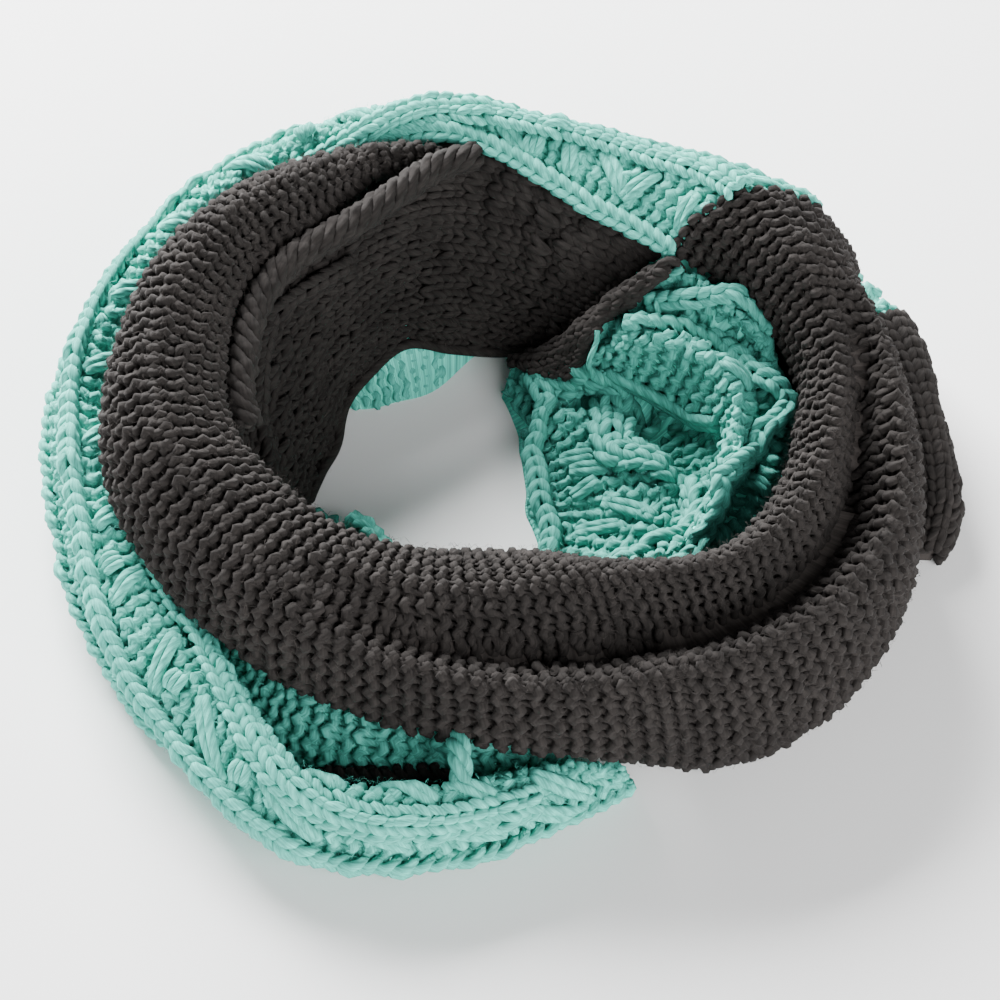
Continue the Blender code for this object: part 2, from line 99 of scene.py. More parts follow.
# Outer mint turn: foot, bulge and crest outside, crest, lip and foot inside, two points of its hidden side
MINT_TURN = (
    (32.2, 15, 171, 2, 181, 44, 169, 76, 150, 94, 125, 90, 111, 67, 114, 20, 114, 0),
    (55, 8, 150, 2, 159, 54, 150, 78, 134, 86, 119, 83, 108, 71, 116, 50, 112, 0),
    (75, 0, 140, 2, 147, 58, 141, 78, 131, 85, 121, 82, 115, 75, 118, 50, 96, 0),
    (93, 0, 147, 2, 156, 57, 151, 77, 143, 83, 135, 80, 129, 75, 118, 50, 64, 0),
    (112, 0, 153, 2, 162, 49, 157, 66, 148, 74, 140, 73, 128, 60, 112, 45, 59, 0),
    (126, 0, 154, 2, 163, 42, 158, 59, 150, 66, 142, 64, 126, 50, 108, 40, 63, 0),
    (140, 0, 154, 2, 163, 33, 158, 49, 150, 58, 142, 58, 126, 45, 106, 36, 84, 0),
    (165, 0, 150, 2, 160, 23, 154, 40, 147, 49, 139, 49, 123, 39, 104, 32, 90, 0),
    (190, 0, 142, 2, 151, 20, 146, 36, 139, 44, 132, 44, 121, 35, 108, 24, 104, 0),
    (212, 0, 144, 2, 154, 18, 149, 34, 138, 42, 131, 40, 121, 33, 112, 20, 108, 0),
    (233, 0, 153, 2, 163, 16, 156, 33, 143, 39, 135, 35, 130, 25, 129, 12, 129, 0),
    (251, 0, 168, 2, 179, 14, 171, 29, 160, 35, 154, 30, 150, 18, 150, 8, 151, 0),
    (268, 0, 164, 2, 174, 13, 167, 28, 158, 34, 153, 30, 149, 20, 149, 8, 150, 0),
    (284, 0, 152, 2, 162, 12, 156, 25, 150, 28, 146, 26, 142, 19, 142, 8, 143, 0),
    (296, 0, 146, 2, 153, 7, 150, 11, 147, 12, 144, 11, 141, 8, 141, 5, 142, 0),
)

# Inner mint turn: outer foot, outside and crest of the upper fold, slit, ridge of the big fold, hollow, low
# hump, rim at the hole
MINT_INNER_TURN = (
    (70, 0, 72, 6, 71.5, 9, 71, 11, 70, 12, 68.5, 11, 67, 10, 64, 8, 61, 4),
    (60, 0, 76, 14, 75, 17, 73.5, 19, 71, 19, 68, 18, 63, 15, 57, 11, 51, 4),
    (52, 0, 82, 26, 81, 29, 79, 31, 76, 30, 72, 27, 65, 19, 56, 14, 45, 4),
    (46, 0, 92, 40, 91, 43, 88, 45, 83, 43, 78, 39, 66, 20, 56, 18, 40, 5),
    (39, 0, 112, 56, 110, 62, 104, 63, 95, 48, 85, 46, 68, 21, 56, 19, 37, 5),
    (30, 0, 120, 56, 119, 65, 112, 67, 103, 51, 87, 52, 71, 21, 58, 20, 34, 5),
    (20, 0, 130, 50, 128, 60, 121, 63, 114, 49, 98, 57, 81, 21, 61, 21, 32, 5),
    (10, 0, 136, 40, 132, 49, 126, 52, 119, 46, 106, 58, 88, 20, 65, 22, 31, 5),
    (0, 0, 136, 34, 132, 44, 126, 48, 118, 44, 109, 57, 92, 19, 74, 24, 30, 5),
    (-10, 0, 132, 32, 128, 41, 123, 45, 115, 42, 107, 56, 93, 19, 83, 25, 31, 5),
    (-20, 0, 127, 32, 123, 39, 118, 43, 112, 42, 106, 52, 98, 23, 91, 26, 35, 5),
    (-33, 0, 119, 30, 114, 37, 109, 41, 104, 42, 98, 44, 87, 26, 79, 24, 42, 5),
    (-46, 0, 104, 26, 100, 32, 95, 36, 90, 37, 86, 36, 76, 22, 66, 20, 48, 5),
    (-58, 0, 112, 3, 109, 10, 104, 16, 96, 19, 88, 20, 76, 20, 64, 17, 48, 5),
    (-72, 0, 136, 3, 133, 12, 128, 19, 116, 24, 102, 26, 84, 25, 66, 20, 44, 5),
    (-95, 0, 145, 2, 140, 13, 132, 23, 120, 28, 106, 30, 86, 29, 66, 23, 40, 5),
    (-118, 0, 146, 2, 137, 15, 128, 25, 116, 29, 102, 31, 82, 29, 62, 22, 36, 5),
    (-132, 0, 126, 2, 121, 14, 115, 23, 106, 27, 94, 28, 78, 26, 60, 20, 32, 5),
    (-152, 0, 104, 2, 102.5, 12, 99, 20, 92, 24, 84, 24, 72, 22, 56, 17, 31, 5),
    (-172, 0, 98, 2, 96.5, 10, 93, 16, 86, 19, 80, 20, 72, 18, 60, 13, 46, 5),
)

# Curled selvedge along the top of the inner wall: bearing, reach and height of its middle, then its strands:
# how many, how far out and how much that varies, the length of one twist and of one swelling, how much they
# swell, their size against the yarn, and the radius of the core
EDGE_CURL = (
    (84, 119, 77), (92, 110, 79), (101, 98, 79), (114, 89, 77), (125, 86.5, 76), (134, 87, 75),
    (146, 85.5, 72), (155, 83, 70), (168, 79, 67), (180, 78, 63), (188, 75, 58),
)
CURL_STRANDS = 5
CURL_REACH = 4.0
CURL_WAVE = 0.4
CURL_TWIST = 30.0
CURL_SWELLING = 7.5
CURL_SWELL = 0.13
CURL_YARN = 1.25
CURL_CORE = 2.5
CURL_STEPS = 140

# Outer selvedge on the right: inner foot, inner top, rim top, rim, outer foot
OUTER_EDGE = (
    (20.5, 0, 168, 0, 172, 32, 184, 42, 196, 35, 190, 0),
    (14, 0, 168, 0, 176, 32, 188, 39, 196, 32, 190, 0),
    (7, 0, 168, 0, 180, 28, 189, 34, 195, 27, 190, 0),
    (0, 0, 168, 0, 182, 22, 191, 27, 198, 20, 193, 0),
    (-5, 0, 168, 0, 182, 15, 192, 20, 200, 13, 196, 0),
    (-9, 0, 170, 0, 182, 8, 189, 11, 195, 7, 193, 0),
)

# Lower mint layer under the seam on the right: inner foot, inner top, outer top, bulge, outer foot
MINT_UNDER_SEAM = (
    (31.6, 15, 140, 0, 146, 34, 172, 36, 187, 30, 182, 0),
    (26, 8, 140, 0, 146, 34, 172, 38, 191, 34, 184, 0),
    (21, 0, 140, 0, 146, 34, 171, 38, 193, 35, 186, 0),
)

# How finely the cloth is divided, in degrees along and steps across, how many of these steps make one of the
# cloth under the stitches, and in millimetres the wall's thickness and how low a cloth with folds may go
CLOTH_STEP = 2.5
CLOTH_ACROSS = 72
UNDER_STEP = 3
INNER_WALL_STEP = 6
INNER_WALL_THICKNESS = 6.0
LEAST_HEIGHT = 3.0

# The cloth under the stitches lies this far inside the solids, in millimetres
CLOTH_DEPTH = 4.3

# The fold between the two rolls: which point of the row, how much deeper, and how wide, in millimetres, the
# half width of its smoothing, in rows, and how far the outer and inner panels of stitches reach over it
ROLL_CREASE = (3, 0.8, 4.0)
CREASE_SMOOTHING = 12
OUTER_PANEL_OVERLAP = 0.045
INNER_PANEL_OVERLAP = 0.035

# Knit stitches against purl ones: sideways swing, and how much taller their loops are
KNIT_SWING = -0.01
KNIT_REACH = 1.22

# How a row of yarn varies: swelling at each loop, and its unevenness sideways, along and in depth, in metres
BEAD = 0.11
UNEVEN_SIDE = 0.02
UNEVEN_REACH = 0.05
UNEVEN_DEPTH = 0.0004
SPREAD_LIMITS = (0.75, 1.25)

# Size of a yarn's ends against its middle, and how much yarn is flattened
YARN_END = 0.02
YARN_FLATNESS = 0.92

# Ropes and slipped strands, in metres: how far the stitches of a rope stand off it, how deep the ends of
# strands are tucked in and how close together they end, as a share, and how far apart strands lie, in radii
ROPE_LIFT = 0.0018
STRAND_TUCK = 0.002
STRAND_END_SPREAD = 0.55
STRAND_GAP = 1.55

# Knots, in metres: half length and height, and the number of loops and how far apart they lie, in radii
KNOT_REACH = 0.0042
KNOT_LIFT = 0.003
KNOT_LOOPS = 3
KNOT_GAP = 1.5

# Steps along fine paths and knots, in millimetres
FINE_STEP = 1.6
KNOT_STEP = 1.0

# Closer rows against the yarn's own spacing: knit stitches, purl ones on the inner roll, ropes and the outer
# selvedge, and where the first row of a band starts and how far the rows reach, in rows
CLOSE_ROWS = 0.66
ROLL_ROWS = 0.75
ROPE_ROWS = 0.8
SELVEDGE_ROWS = 0.8
ROW_START = 0.001
ROW_STRETCH = 0.998

# Paths on the mint cloths: millimetres along the band, and the share of the way across it
MINT_EDGE_COLUMN = (
    (0, 0.52), (120, 0.52), (210, 0.52), (300, 0.56), (380, 0.63), (417, 0.65), (460, 0.615),
    (500, 0.51), (527, 0.41), (560, 0.35), (581, 0.35), (602, 0.33), (627, 0.25), (660, 0.21), (742, 0.20),
)
MINT_CREST_ROPE = (
    (0, 0.74), (28, 0.74), (61, 0.76), (85, 0.77), (106, 0.79), (131, 0.82), (160, 0.87), (200, 0.90),
    (300, 0.92), (420, 0.94), (490, 0.965), (507, 0.955), (534, 0.90), (558, 0.79), (580, 0.73),
    (595, 0.68), (611, 0.61), (625, 0.55), (643, 0.51), (661, 0.51), (700, 0.53), (742, 0.56),
)
MINT_LIP = ((0, 0.975), (28, 0.975), (60, 0.98), (100, 0.98), (143, 0.965), (180, 0.965), (215, 0.965))
MINT_LOW_COLUMN = ((0, 0.22), (200, 0.22), (350, 0.26), (440, 0.27), (500, 0.16), (545, 0.10))
MINT_LEAVES = (
    ((491, 0.88), (500, 0.58)), ((529, 0.81), (539, 0.44)), ((557, 0.66), (581, 0.38)),
    ((595, 0.60), (622, 0.36)), ((630, 0.50), (655, 0.34)), ((662, 0.47), (690, 0.33)),
    ((455, 0.90), (466, 0.68)), ((410, 0.88), (425, 0.72)), ((371, 0.86), (386, 0.69)),
    ((330, 0.86), (346, 0.66)), ((290, 0.86), (306, 0.62)), ((250, 0.84), (266, 0.60)),
    ((214, 0.68), (194, 0.92)), ((176, 0.82), (156, 0.58)), ((143, 0.86), (122, 0.96)),
    ((128, 0.76), (108, 0.58)), ((84, 0.80), (50, 0.91)), ((44, 0.79), (50, 0.93)), ((16, 0.80), (4, 0.93)),
    ((86, 0.73), (66, 0.56)), ((44, 0.70), (24, 0.56)), ((12, 0.70), (2, 0.58)), ((104, 0.82), (92, 0.94)),
    ((180, 0.90), (166, 0.95)), ((556, 0.97), (570, 0.84)), ((585, 0.93), (600, 0.74)),
    ((610, 0.90), (628, 0.66)), ((640, 0.88), (664, 0.62)), ((668, 0.80), (694, 0.50)),
    ((700, 0.74), (724, 0.44)), ((698, 0.44), (722, 0.24)), ((662, 0.24), (684, 0.12)),
)
MINT_KNOTS = ((485, 0.70), (122, 0.89), (588, 0.52), (230, 0.74), (545, 0.60))

# The side of the mint turn that faces the coil: the bearings between which it is knitted, and its rope
MINT_INSIDE = (90, 195)
MINT_INSIDE_ROPE = ((5, 0.72), (80, 0.68), (160, 0.6))

# Ropes along the mint turn: path, wales, height in millimetres and size of the stitches
MINT_ROPES = (
    (MINT_EDGE_COLUMN, 1, 2.0, 1.15),
    (MINT_CREST_ROPE[:-1], 1.5, 3.5, 1.0),
    (MINT_LIP, 1, 1.5, 1.1),
    (MINT_LOW_COLUMN, 1, 2.0, 1.15),
)

# Paths on the inner turn: its panels of purl stitches, then ropes with their wales, the fold's edge, leaves,
# and folds as a path, a height and a half width
INNER_PANELS = ((0.0, 0.30), (0.30, 0.62), (0.62, 1.0))

INNER_ROPES = (
    ((348, 0.40), (335, 0.30), (325, 0.24), (312, 0.17), (302, 0.12), (292, 0.09), (282, 0.12), (272, 0.18),
     (262, 0.235), (250, 0.25), (238, 0.21), (222, 0.16), (200, 0.14), (175, 0.16), (150, 0.20), (125, 0.22)),
    ((386, 0.50), (370, 0.56), (345, 0.66), (320, 0.74), (298, 0.74), (278, 0.63), (262, 0.50), (245, 0.44),
     (225, 0.42), (200, 0.44), (170, 0.46), (130, 0.48), (90, 0.46), (50, 0.44)),
    ((392, 0.47), (380, 0.66), (360, 0.86), (340, 0.955), (300, 0.955), (260, 0.95), (228, 0.93), (190, 0.90),
     (150, 0.93), (110, 0.94), (60, 0.93), (20, 0.90)),
    ((352, 0.25), (343, 0.19), (333, 0.12), (320, 0.06)),
)
INNER_ROPE_WALES = (1, 2, 1, 1)
INNER_FOLD_EDGE = ((350, 0.60), (333, 0.59), (317, 0.555), (302, 0.49), (290, 0.42))
INNER_LEAVES = (
    ((291, 0.11), (285, 0.01)), ((266, 0.23), (256, 0.07)), ((240, 0.20), (228, 0.03)),
    ((308, 0.30), (296, 0.22)), ((300, 0.88), (288, 0.77)), ((281, 0.80), (268, 0.88)),
    ((262, 0.80), (250, 0.62)), ((318, 0.90), (306, 0.80)), ((246, 0.72), (236, 0.86)),
    ((116, 0.30), (130, 0.42)), ((85, 0.26), (100, 0.40)), ((60, 0.30), (74, 0.42)),
)
INNER_FOLDS = (
    (((80, 0.03), (100, 0.04), (128, 0.03)), -11.0, 7.0),
    (((352, 0.37), (340, 0.31), (328, 0.25), (316, 0.19), (306, 0.13)), -7.0, 2.6),
    (((352, 0.52), (335, 0.44), (318, 0.37), (302, 0.27), (290, 0.22)), 3.5, 7.0),
    (((354, 0.68), (335, 0.65), (315, 0.61), (296, 0.53), (280, 0.44)), -9.0, 6.0),
    (((268, 0.33), (256, 0.36), (240, 0.32), (226, 0.27)), -5.0, 4.5),
    (((284, 0.20), (262, 0.12), (240, 0.08)), 2.0, 6.0),
)

# Where the charcoal cloth lies over the end of the inner turn, how far it and the sewn strands stand off,
# in millimetres, where its backing starts and ends along the turn, and the mint strands sewn across it
INNER_DARK_END = ((344, 0.0), (346, 0.17), (352, 0.25), (359, 0.29), (361.5, 0.57), (384, 0.48), (398, 0.40))
END_SHIFT = np.array([0.0, -2.8, 3.4])
END_BACKING = (344.5, 397.5)
SEWN_STRANDS = (((368, 0.29), (355, 0.63)), ((352, 0.24), (345, 0.36)))
SEWN_SHIFT = 1.7 * END_SHIFT
SEWN_RADIUS = 1.2

# The charcoal cloth seen at the bottom of the open fold, between two lines
FOLD_DARK_LOW = ((91, 0.06), (96, 0.0), (130, 0.0), (136, 0.09))
FOLD_DARK_HIGH = ((91, 0.06), (97, 0.11), (112, 0.13), (126, 0.15), (136, 0.09))

# The mint tab across the open fold: its start on the outer turn and end on the inner one, how high it arches
# and how deep its ends lie, its strands, their turns, and the two half widths of their twist
TAB_START = (673, 0.72)
TAB_END = (130, 0.25)
TAB_ARCH = 12.0
TAB_SINK = 4.0
TAB_STRANDS = 3
TAB_TURNS = 1.6
TAB_TWIST = (2.3, 1.84)
TAB_STEPS = 24

# On the inner wall: the second raised column below the curled edge, and where the strand of its hem lies
WALL_COLUMN = (
    (108, 0.33), (122, 0.27), (134, 0.21), (146, 0.15), (156, 0.18), (165, 0.23), (176, 0.31), (196, 0.48),
)
WALL_HEM = 0.985

# Loose fibres: how many on each piece and the seed of their places, then in millimetres the least and
# greatest length, which is also that of their sideways bend, the least and greatest rise, the half width and
# how far the roots lie off the cloth, and the points along each
FIBRES = {
    "charcoal_turn": (4200, 61),
    "charcoal_inner_wall": (500, 62),
    "mint_turn": (3200, 63),
    "mint_inner_turn": (900, 64),
}
FIBRE_LENGTH = (1.5, 5.0)
FIBRE_RISE = (0.4, 2.2)
FIBRE_HALF_WIDTH = 0.07
FIBRE_CLEARANCE = 0.4
FIBRE_POINTS = 4

# Each material: its brightness against the colour of its yarn, and how dark its dark parts are. The mint yarn
# inside the coil is painted darker, as painted shade, and the cloths under the stitches are painted lighter
# than their yarn, as painted light in the gaps between stitches
YARN_TONES = {
    "charcoal yarn": (1.0, 0.72),
    "charcoal under": (2.4, 0.8),
    "charcoal fibre": (2.2, 0.8),
    "mint yarn": (1.0, 0.86),
    "mint inner yarn": (0.70, 0.86),
    "mint under": (1.8, 0.85),
    "mint fibre": (1.25, 0.9),
}

# The floor's width, and how far it lies below the scarf, in metres
FLOOR_WIDTH = 6.0
FLOOR_DROP = 0.0003

# Each light: its place and width in metres, and its power against the key light's
LIGHTS = {
    "key_light": ((-0.8, 1.55, 0.98), 1.25, 1.0),
    "fill_light": ((0.9, -1.5, 0.8), 1.4, 0.21),
}


def through_rows(places, values, wanted):
    """A smooth curve through the rows of a table, read at the wanted places."""
    places = np.asarray(places, float)
    values = np.asarray(values, float)
    step = np.diff(places)[:, None]
    slope = np.diff(values, axis=0) / step
    tangent = np.empty_like(values)
    tangent[1:-1] = (slope[:-1] * step[1:] + slope[1:] * step[:-1]) / (step[1:] + step[:-1])
    tangent[0] = slope[0]
    tangent[-1] = slope[-1]
    row = np.clip(np.searchsorted(places, wanted, side="right") - 1, 0, len(places) - 2)
    span = step[row]
    t = (np.asarray(wanted, float) - places[row])[:, None] / span
    start = (2 * t**3 - 3 * t**2 + 1) * values[row] + (t**3 - 2 * t**2 + t) * span * tangent[row]
    end = (3 * t**2 - 2 * t**3) * values[row + 1] + (t**3 - t**2) * span * tangent[row + 1]
    return start + end


def along_points(points, steps):
    """A smooth line through a section's points, in equal steps of its own parameter."""
    padded = np.vstack([2 * points[0] - points[1], points, 2 * points[-1] - points[-2]])
    place = np.linspace(0, len(points) - 1, steps + 1)
    knot = np.minimum(place.astype(int), len(points) - 2)
    t = (place - knot)[:, None]
    a, b, c, d = (padded[knot + k] for k in range(4))
    return 0.5 * (2 * b + (c - a) * t + (2 * a - 5 * b + 4 * c - d) * t**2 + (3 * b - a - 3 * c + d) * t**3)


def table_values(table):
    """Bearings, and the rest of each row, sorted by bearing."""
    rows = np.array(sorted(table), float)
    return rows[:, 0], rows[:, 1:]


def length_along(line):
    """Distance from the line's start at each of its points."""
    return np.concatenate([[0.0], np.cumsum(np.linalg.norm(np.diff(line, axis=0), axis=1))])


def unit(vectors):
    """Vectors of length one."""
    return vectors / np.maximum(np.linalg.norm(vectors, axis=-1, keepdims=True), 1e-12)


def skin_normals(points):
    """Directions straight out of a grid of points."""
    return unit(np.cross(np.gradient(points, axis=0), np.gradient(points, axis=1)))


def standing(section, bearing, slant, share):
    """World points of a section line, in metres."""
    angle = np.radians(bearing + slant * (share - 0.5))
    reach = section[:, 0] * MM
    x = COIL_CENTRE[0] + reach * np.cos(angle)
    y = COIL_CENTRE[1] + reach * np.sin(angle)
    return np.stack([x, y, section[:, 1] * MM], axis=1)


class Cloth:
    """The skin of a stretch as a grid of points, along the band and across it."""

    def __init__(self, points, normals, bearings=None):
        self.points = points
        self.normals = normals
        self.bearings = bearings
        column = round(0.5 * (points.shape[1] - 1))
        self.along = length_along(points[:, column])
        self.across = np.array([length_along(line)[-1] for line in points])
        self.length = self.along[-1]
        steps = np.linalg.norm(np.gradient(points, axis=0), axis=2)
        self.spread = (steps / steps[:, column : column + 1])[..., None]

    @classmethod
    def from_table(cls, table, count, crease=None):
        """The skin through the first count points of each row."""
        places, values = table_values(table)
        first, last = places[[0, -1]]
        bearings = np.linspace(first, last, max(3, round((last - first) / CLOTH_STEP)) + 1)
        rows = through_rows(places, values, bearings)
        grid = []
        for bearing, row in zip(bearings, rows):
            section = row[1 : 1 + 2 * count].reshape(count, 2)
            fine = along_points(section, 6 * count)
            distance = length_along(fine)
            even = np.linspace(0, distance[-1], CLOTH_ACROSS + 1)
            line = np.stack([np.interp(even, distance, fine[:, k]) for k in (0, 1)], axis=1)
            if crease:
                line = folded(line, even, section, crease)
            share = np.interp(even, distance, np.linspace(0, 1, len(fine)))
            grid.append(standing(line, bearing, row[0], share))
        points = np.array(grid)
        return cls(points, skin_normals(points), bearings)

    def read(self, grid, along, across):
        """Values of a grid at distances along the band, in metres, and shares across it."""
        rows, columns = grid.shape[:2]
        i = np.interp(along, self.along, np.arange(rows))
        j = np.clip(across, 0, 1) * (columns - 1)
        i0 = np.clip(i.astype(int), 0, rows - 2)
        j0 = np.clip(j.astype(int), 0, columns - 2)
        u = (i - i0)[..., None]
        v = (j - j0)[..., None]
        near = grid[i0, j0] * (1 - v) + grid[i0, j0 + 1] * v
        far = grid[i0 + 1, j0] * (1 - v) + grid[i0 + 1, j0 + 1] * v
        return near * (1 - u) + far * u

    def at(self, along, across):
        """Points and normals at distances along the band and shares across it."""
        return self.read(self.points, along, across), unit(self.read(self.normals, along, across))

    def width(self, along):
        """Length across the band, in metres, at distances along it."""
        return np.interp(along, self.along, self.across)


def folded(line, even, section, crease):
    """A section line with its valley pressed into a sharp fold, where the table has a valley."""
    point, gain, reach = crease
    low, valley, high = section[point - 1], section[point], section[point + 1]
    chord = high - low
    span = math.hypot(*chord)
    out = np.array([-chord[1], chord[0]]) / span
    sag = np.dot((low + high) / 2 - valley, out)
    if out[1] < 0:
        out, sag = -out, -sag
    depth = gain * max(0.0, sag)
    if depth <= 0:
        return line
    nearest = np.argmin(np.linalg.norm(line - valley, axis=1))
    press = depth * np.exp(-np.abs(even - even[nearest]) / reach)
    return line - press[:, None] * out


class YarnTubes:
    """Collects yarn tubes into one mesh."""

    def __init__(self):
        self.points = []
        self.faces = []
        self.uvs = []
        self.count = 0

    def add(self, line, ups, radius, sides=6):
        """A tube along a line of points, with its flattened side towards ups."""
        radius = np.broadcast_to(radius, len(line)).copy()
        radius[[0, -1]] *= YARN_END
        run = unit(np.gradient(line, axis=0))
        side = unit(np.cross(run, ups))
        top = YARN_FLATNESS * np.cross(side, run)
        turn = np.linspace(0, 2 * math.pi, sides, endpoint=False)[:, None]
        ring = side[:, None] * np.cos(turn) + top[:, None] * np.sin(turn)
        points = line[:, None] + radius[:, None, None] * ring
        points[..., 2] = np.maximum(points[..., 2], 0.0)
        index = self.count + np.arange(len(line) * sides).reshape(-1, sides)
        low = np.broadcast_to(np.arange(sides) / sides, (len(line) - 1, sides))
        high = low + 1.0 / sides
        ahead = length_along(line)[:, None]
        near = np.broadcast_to(ahead[:-1], low.shape)
        far = np.broadcast_to(ahead[1:], low.shape)
        corners = ((near, low), (near, high), (far, high), (far, low))
        uv = np.stack([np.stack(corner, -1) for corner in corners], axis=-2)
        self.points.append(points.reshape(-1, 3))
        self.faces.append(grid_faces(np.hstack([index, index[:, :1]])))
        self.uvs.append(uv.reshape(-1, 2))
        self.count += index.size

    def piece(self, name, material, node):
        """The tubes as a piece, with a UV map that runs along the yarn."""
        data = grid_mesh(name, np.vstack(self.points), np.vstack(self.faces), np.vstack(self.uvs))
        return add_piece(name, data, material, node)


def grid_faces(index):
    """Four-sided faces between the neighbours in a grid of point numbers."""
    near, far = index[..., :-1, :], index[..., 1:, :]
    corners = (near[..., :-1], near[..., 1:], far[..., 1:], far[..., :-1])
    return np.stack(corners, axis=-1).reshape(-1, 4)


def grid_mesh(name, points, faces, uvs):
    """A smooth mesh of four-sided faces with one UV for each corner."""
    data = bpy.data.meshes.new(name)
    data.vertices.add(len(points))
    data.vertices.foreach_set("co", points.astype(np.float32).ravel())
    data.loops.add(faces.size)
    data.loops.foreach_set("vertex_index", faces.astype(np.int32).ravel())
    data.polygons.add(len(faces))
    data.polygons.foreach_set("loop_start", np.arange(0, faces.size, 4, dtype=np.int32))
    layer = data.uv_layers.new(name="yarn")
    layer.data.foreach_set("uv", uvs.astype(np.float32).ravel())
    data.update(calc_edges=True)
    data.validate()
    data.shade_smooth()
    return data


def add_piece(name, data, material, node):
    """A mesh as a named piece that stands for a CAD node."""
    piece = bpy.data.objects.new(name, data)
    bpy.context.scene.collection.objects.link(piece)
    data.materials.append(scarf_material(material))
    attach(piece, "root")
    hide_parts(node)
    return piece


def share_at(path, along):
    """The share across at distances along a path, which may be one number."""
    if np.isscalar(path):
        return np.full_like(np.asarray(along, float), path)
    table = np.array(sorted(path), float)
    return np.interp(along, table[:, 0] * MM, table[:, 1])


def knit_rows(
    tubes, cloth, face, first=0.0, last=1.0, spacing=None, part=(0, 1), scale=1.0, thick=1.0, lift=0.0,
    seed=1, steps=14, loose=1.0,
):
    """Rows of stitches between two lines on a cloth: each row is one yarn that loops through every wale."""
    yarn = bpy.context.scene.scarf_yarn
    noise = np.random.default_rng(seed)
    sign, swing = (1.0, yarn.loop_swing) if face == "purl" else (-1.0, KNIT_SWING)
    home = 0.5 * (share_at(first, cloth.along) + share_at(last, cloth.along))
    middle = length_along(cloth.at(cloth.along, home)[0])
    number = max(2, round(middle[-1] / (spacing or yarn.row_spacing)))
    places = (np.arange(number + 1) * ROW_STRETCH + ROW_START) / number
    rows = np.interp(places * middle[-1], middle, cloth.along)
    pitch = middle[-1] / number / yarn.row_spacing
    reach = yarn.loop_height * pitch * (1.0 if face == "purl" else KNIT_REACH)
    for row in np.array_split(rows, part[1])[part[0]]:
        width = float(cloth.width(row))
        left, right = float(share_at(first, row)), float(share_at(last, row))
        centre = 0.5 * (left + right)
        own = float(cloth.read(cloth.spread, np.array([row]), np.array([centre]))[0, 0])
        wale = scale * yarn.stitch_width
        low = math.ceil((left - centre) * width / wale * steps)
        high = math.floor((right - centre) * width / wale * steps)
        if high - low < steps // 2:
            continue
        turn = np.arange(low, high + 1) / steps
        slack = np.interp(turn, np.arange(-60, 60), loose * noise.normal(0, 1, 120))
        t = 2 * math.pi * turn
        sideways = centre * width + wale * (turn + swing * np.sin(2 * t) + UNEVEN_SIDE * slack)
        across = np.clip(sideways / width, left, right)
        along = row - reach * (1 + UNEVEN_REACH * slack) * np.cos(t) / own
        points, ups = cloth.at(along, across)
        local = pitch / scale * cloth.read(cloth.spread, along, across)[..., 0] / own
        spread = np.clip(local if face == "purl" else local / pitch * scale, *SPREAD_LIMITS)
        depth = sign * scale * yarn.loop_depth * np.cos(2 * t) + UNEVEN_DEPTH * slack
        line = points + (lift - yarn.yarn_depth + depth * spread**0.5)[:, None] * ups
        bead = 1 + sign * BEAD * np.cos(2 * t)
        tubes.add(line, ups, thick * yarn.radius * bead * spread**0.8)


def valley_line(table, cloth, point):
    """The share across at which the valley between the rolls runs, as a path along the cloth."""
    places, values = table_values(table)
    rows = through_rows(places, values, cloth.bearings)
    reach = np.hypot(cloth.points[..., 0] - COIL_CENTRE[0], cloth.points[..., 1] - COIL_CENTRE[1])
    wanted = rows[:, 1 + 2 * point : 3 + 2 * point, None] * MM
    away = np.hypot(reach - wanted[:, 0], cloth.points[..., 2] - wanted[:, 1])
    share = away.argmin(axis=1) / (cloth.points.shape[1] - 1)
    window = np.ones(2 * CREASE_SMOOTHING + 1)
    share = np.convolve(np.pad(share, CREASE_SMOOTHING, mode="edge"), window / len(window), mode="valid")
    return list(zip(cloth.along / MM, share))


def relieved(cloth, folds):
    """The cloth with crests and valleys along paths on it: each a path, a height and a half width."""
    share = np.linspace(0, 1, cloth.points.shape[1])[None]
    rise = np.zeros(cloth.points.shape[:2])
    for path, height, reach in folds:
        line = np.array(sorted(path), float)
        even = np.linspace(0, len(line) - 1, 60)
        nearest = np.full(rise.shape, 1e9)
        for place in even:
            along, across = (np.interp(place, np.arange(len(line)), line[:, k]) for k in (0, 1))
            ahead = (cloth.along[:, None] - along * MM) * cloth.spread[..., 0]
            nearest = np.minimum(nearest, np.hypot(ahead, (share - across) * cloth.across[:, None]))
        rise += height * MM * np.exp(-((nearest / (reach * MM)) ** 2))
    points = cloth.points + cloth.normals * rise[..., None]
    points[..., 2] = np.maximum(points[..., 2], LEAST_HEIGHT * MM)
    return Cloth(points, skin_normals(points), cloth.bearings)


def path_on(cloth, path, step=2.5):
    """Evenly spaced distances along and shares across, following a path."""
    table = np.array(path, float)
    table[:, 0] *= MM
    knots = cloth.at(table[:, 0], table[:, 1])[0]
    distance = length_along(knots)
    number = max(6, round(distance[-1] / (step * MM)))
    even = np.linspace(0, distance[-1], number)
    return np.interp(even, distance, table[:, 0]), np.interp(even, distance, table[:, 1])


def rope(tubes, cloth, path, wales, height, scale=1.15, seed=1):
    """A raised rope of knit wales along a path."""
    yarn = bpy.context.scene.scarf_yarn
    along, across = path_on(cloth, path)
    half_width = 0.5 * (wales * scale + 0.1) * yarn.stitch_width
    raised = ribbon(cloth, along, across, half_width, height * MM)
    spacing = ROPE_ROWS * scale * yarn.row_spacing
    knit_rows(
        tubes, raised, "knit", spacing=spacing, scale=scale, thick=0.9 * scale, lift=ROPE_LIFT, seed=seed,
        steps=12, loose=1.8,
    )


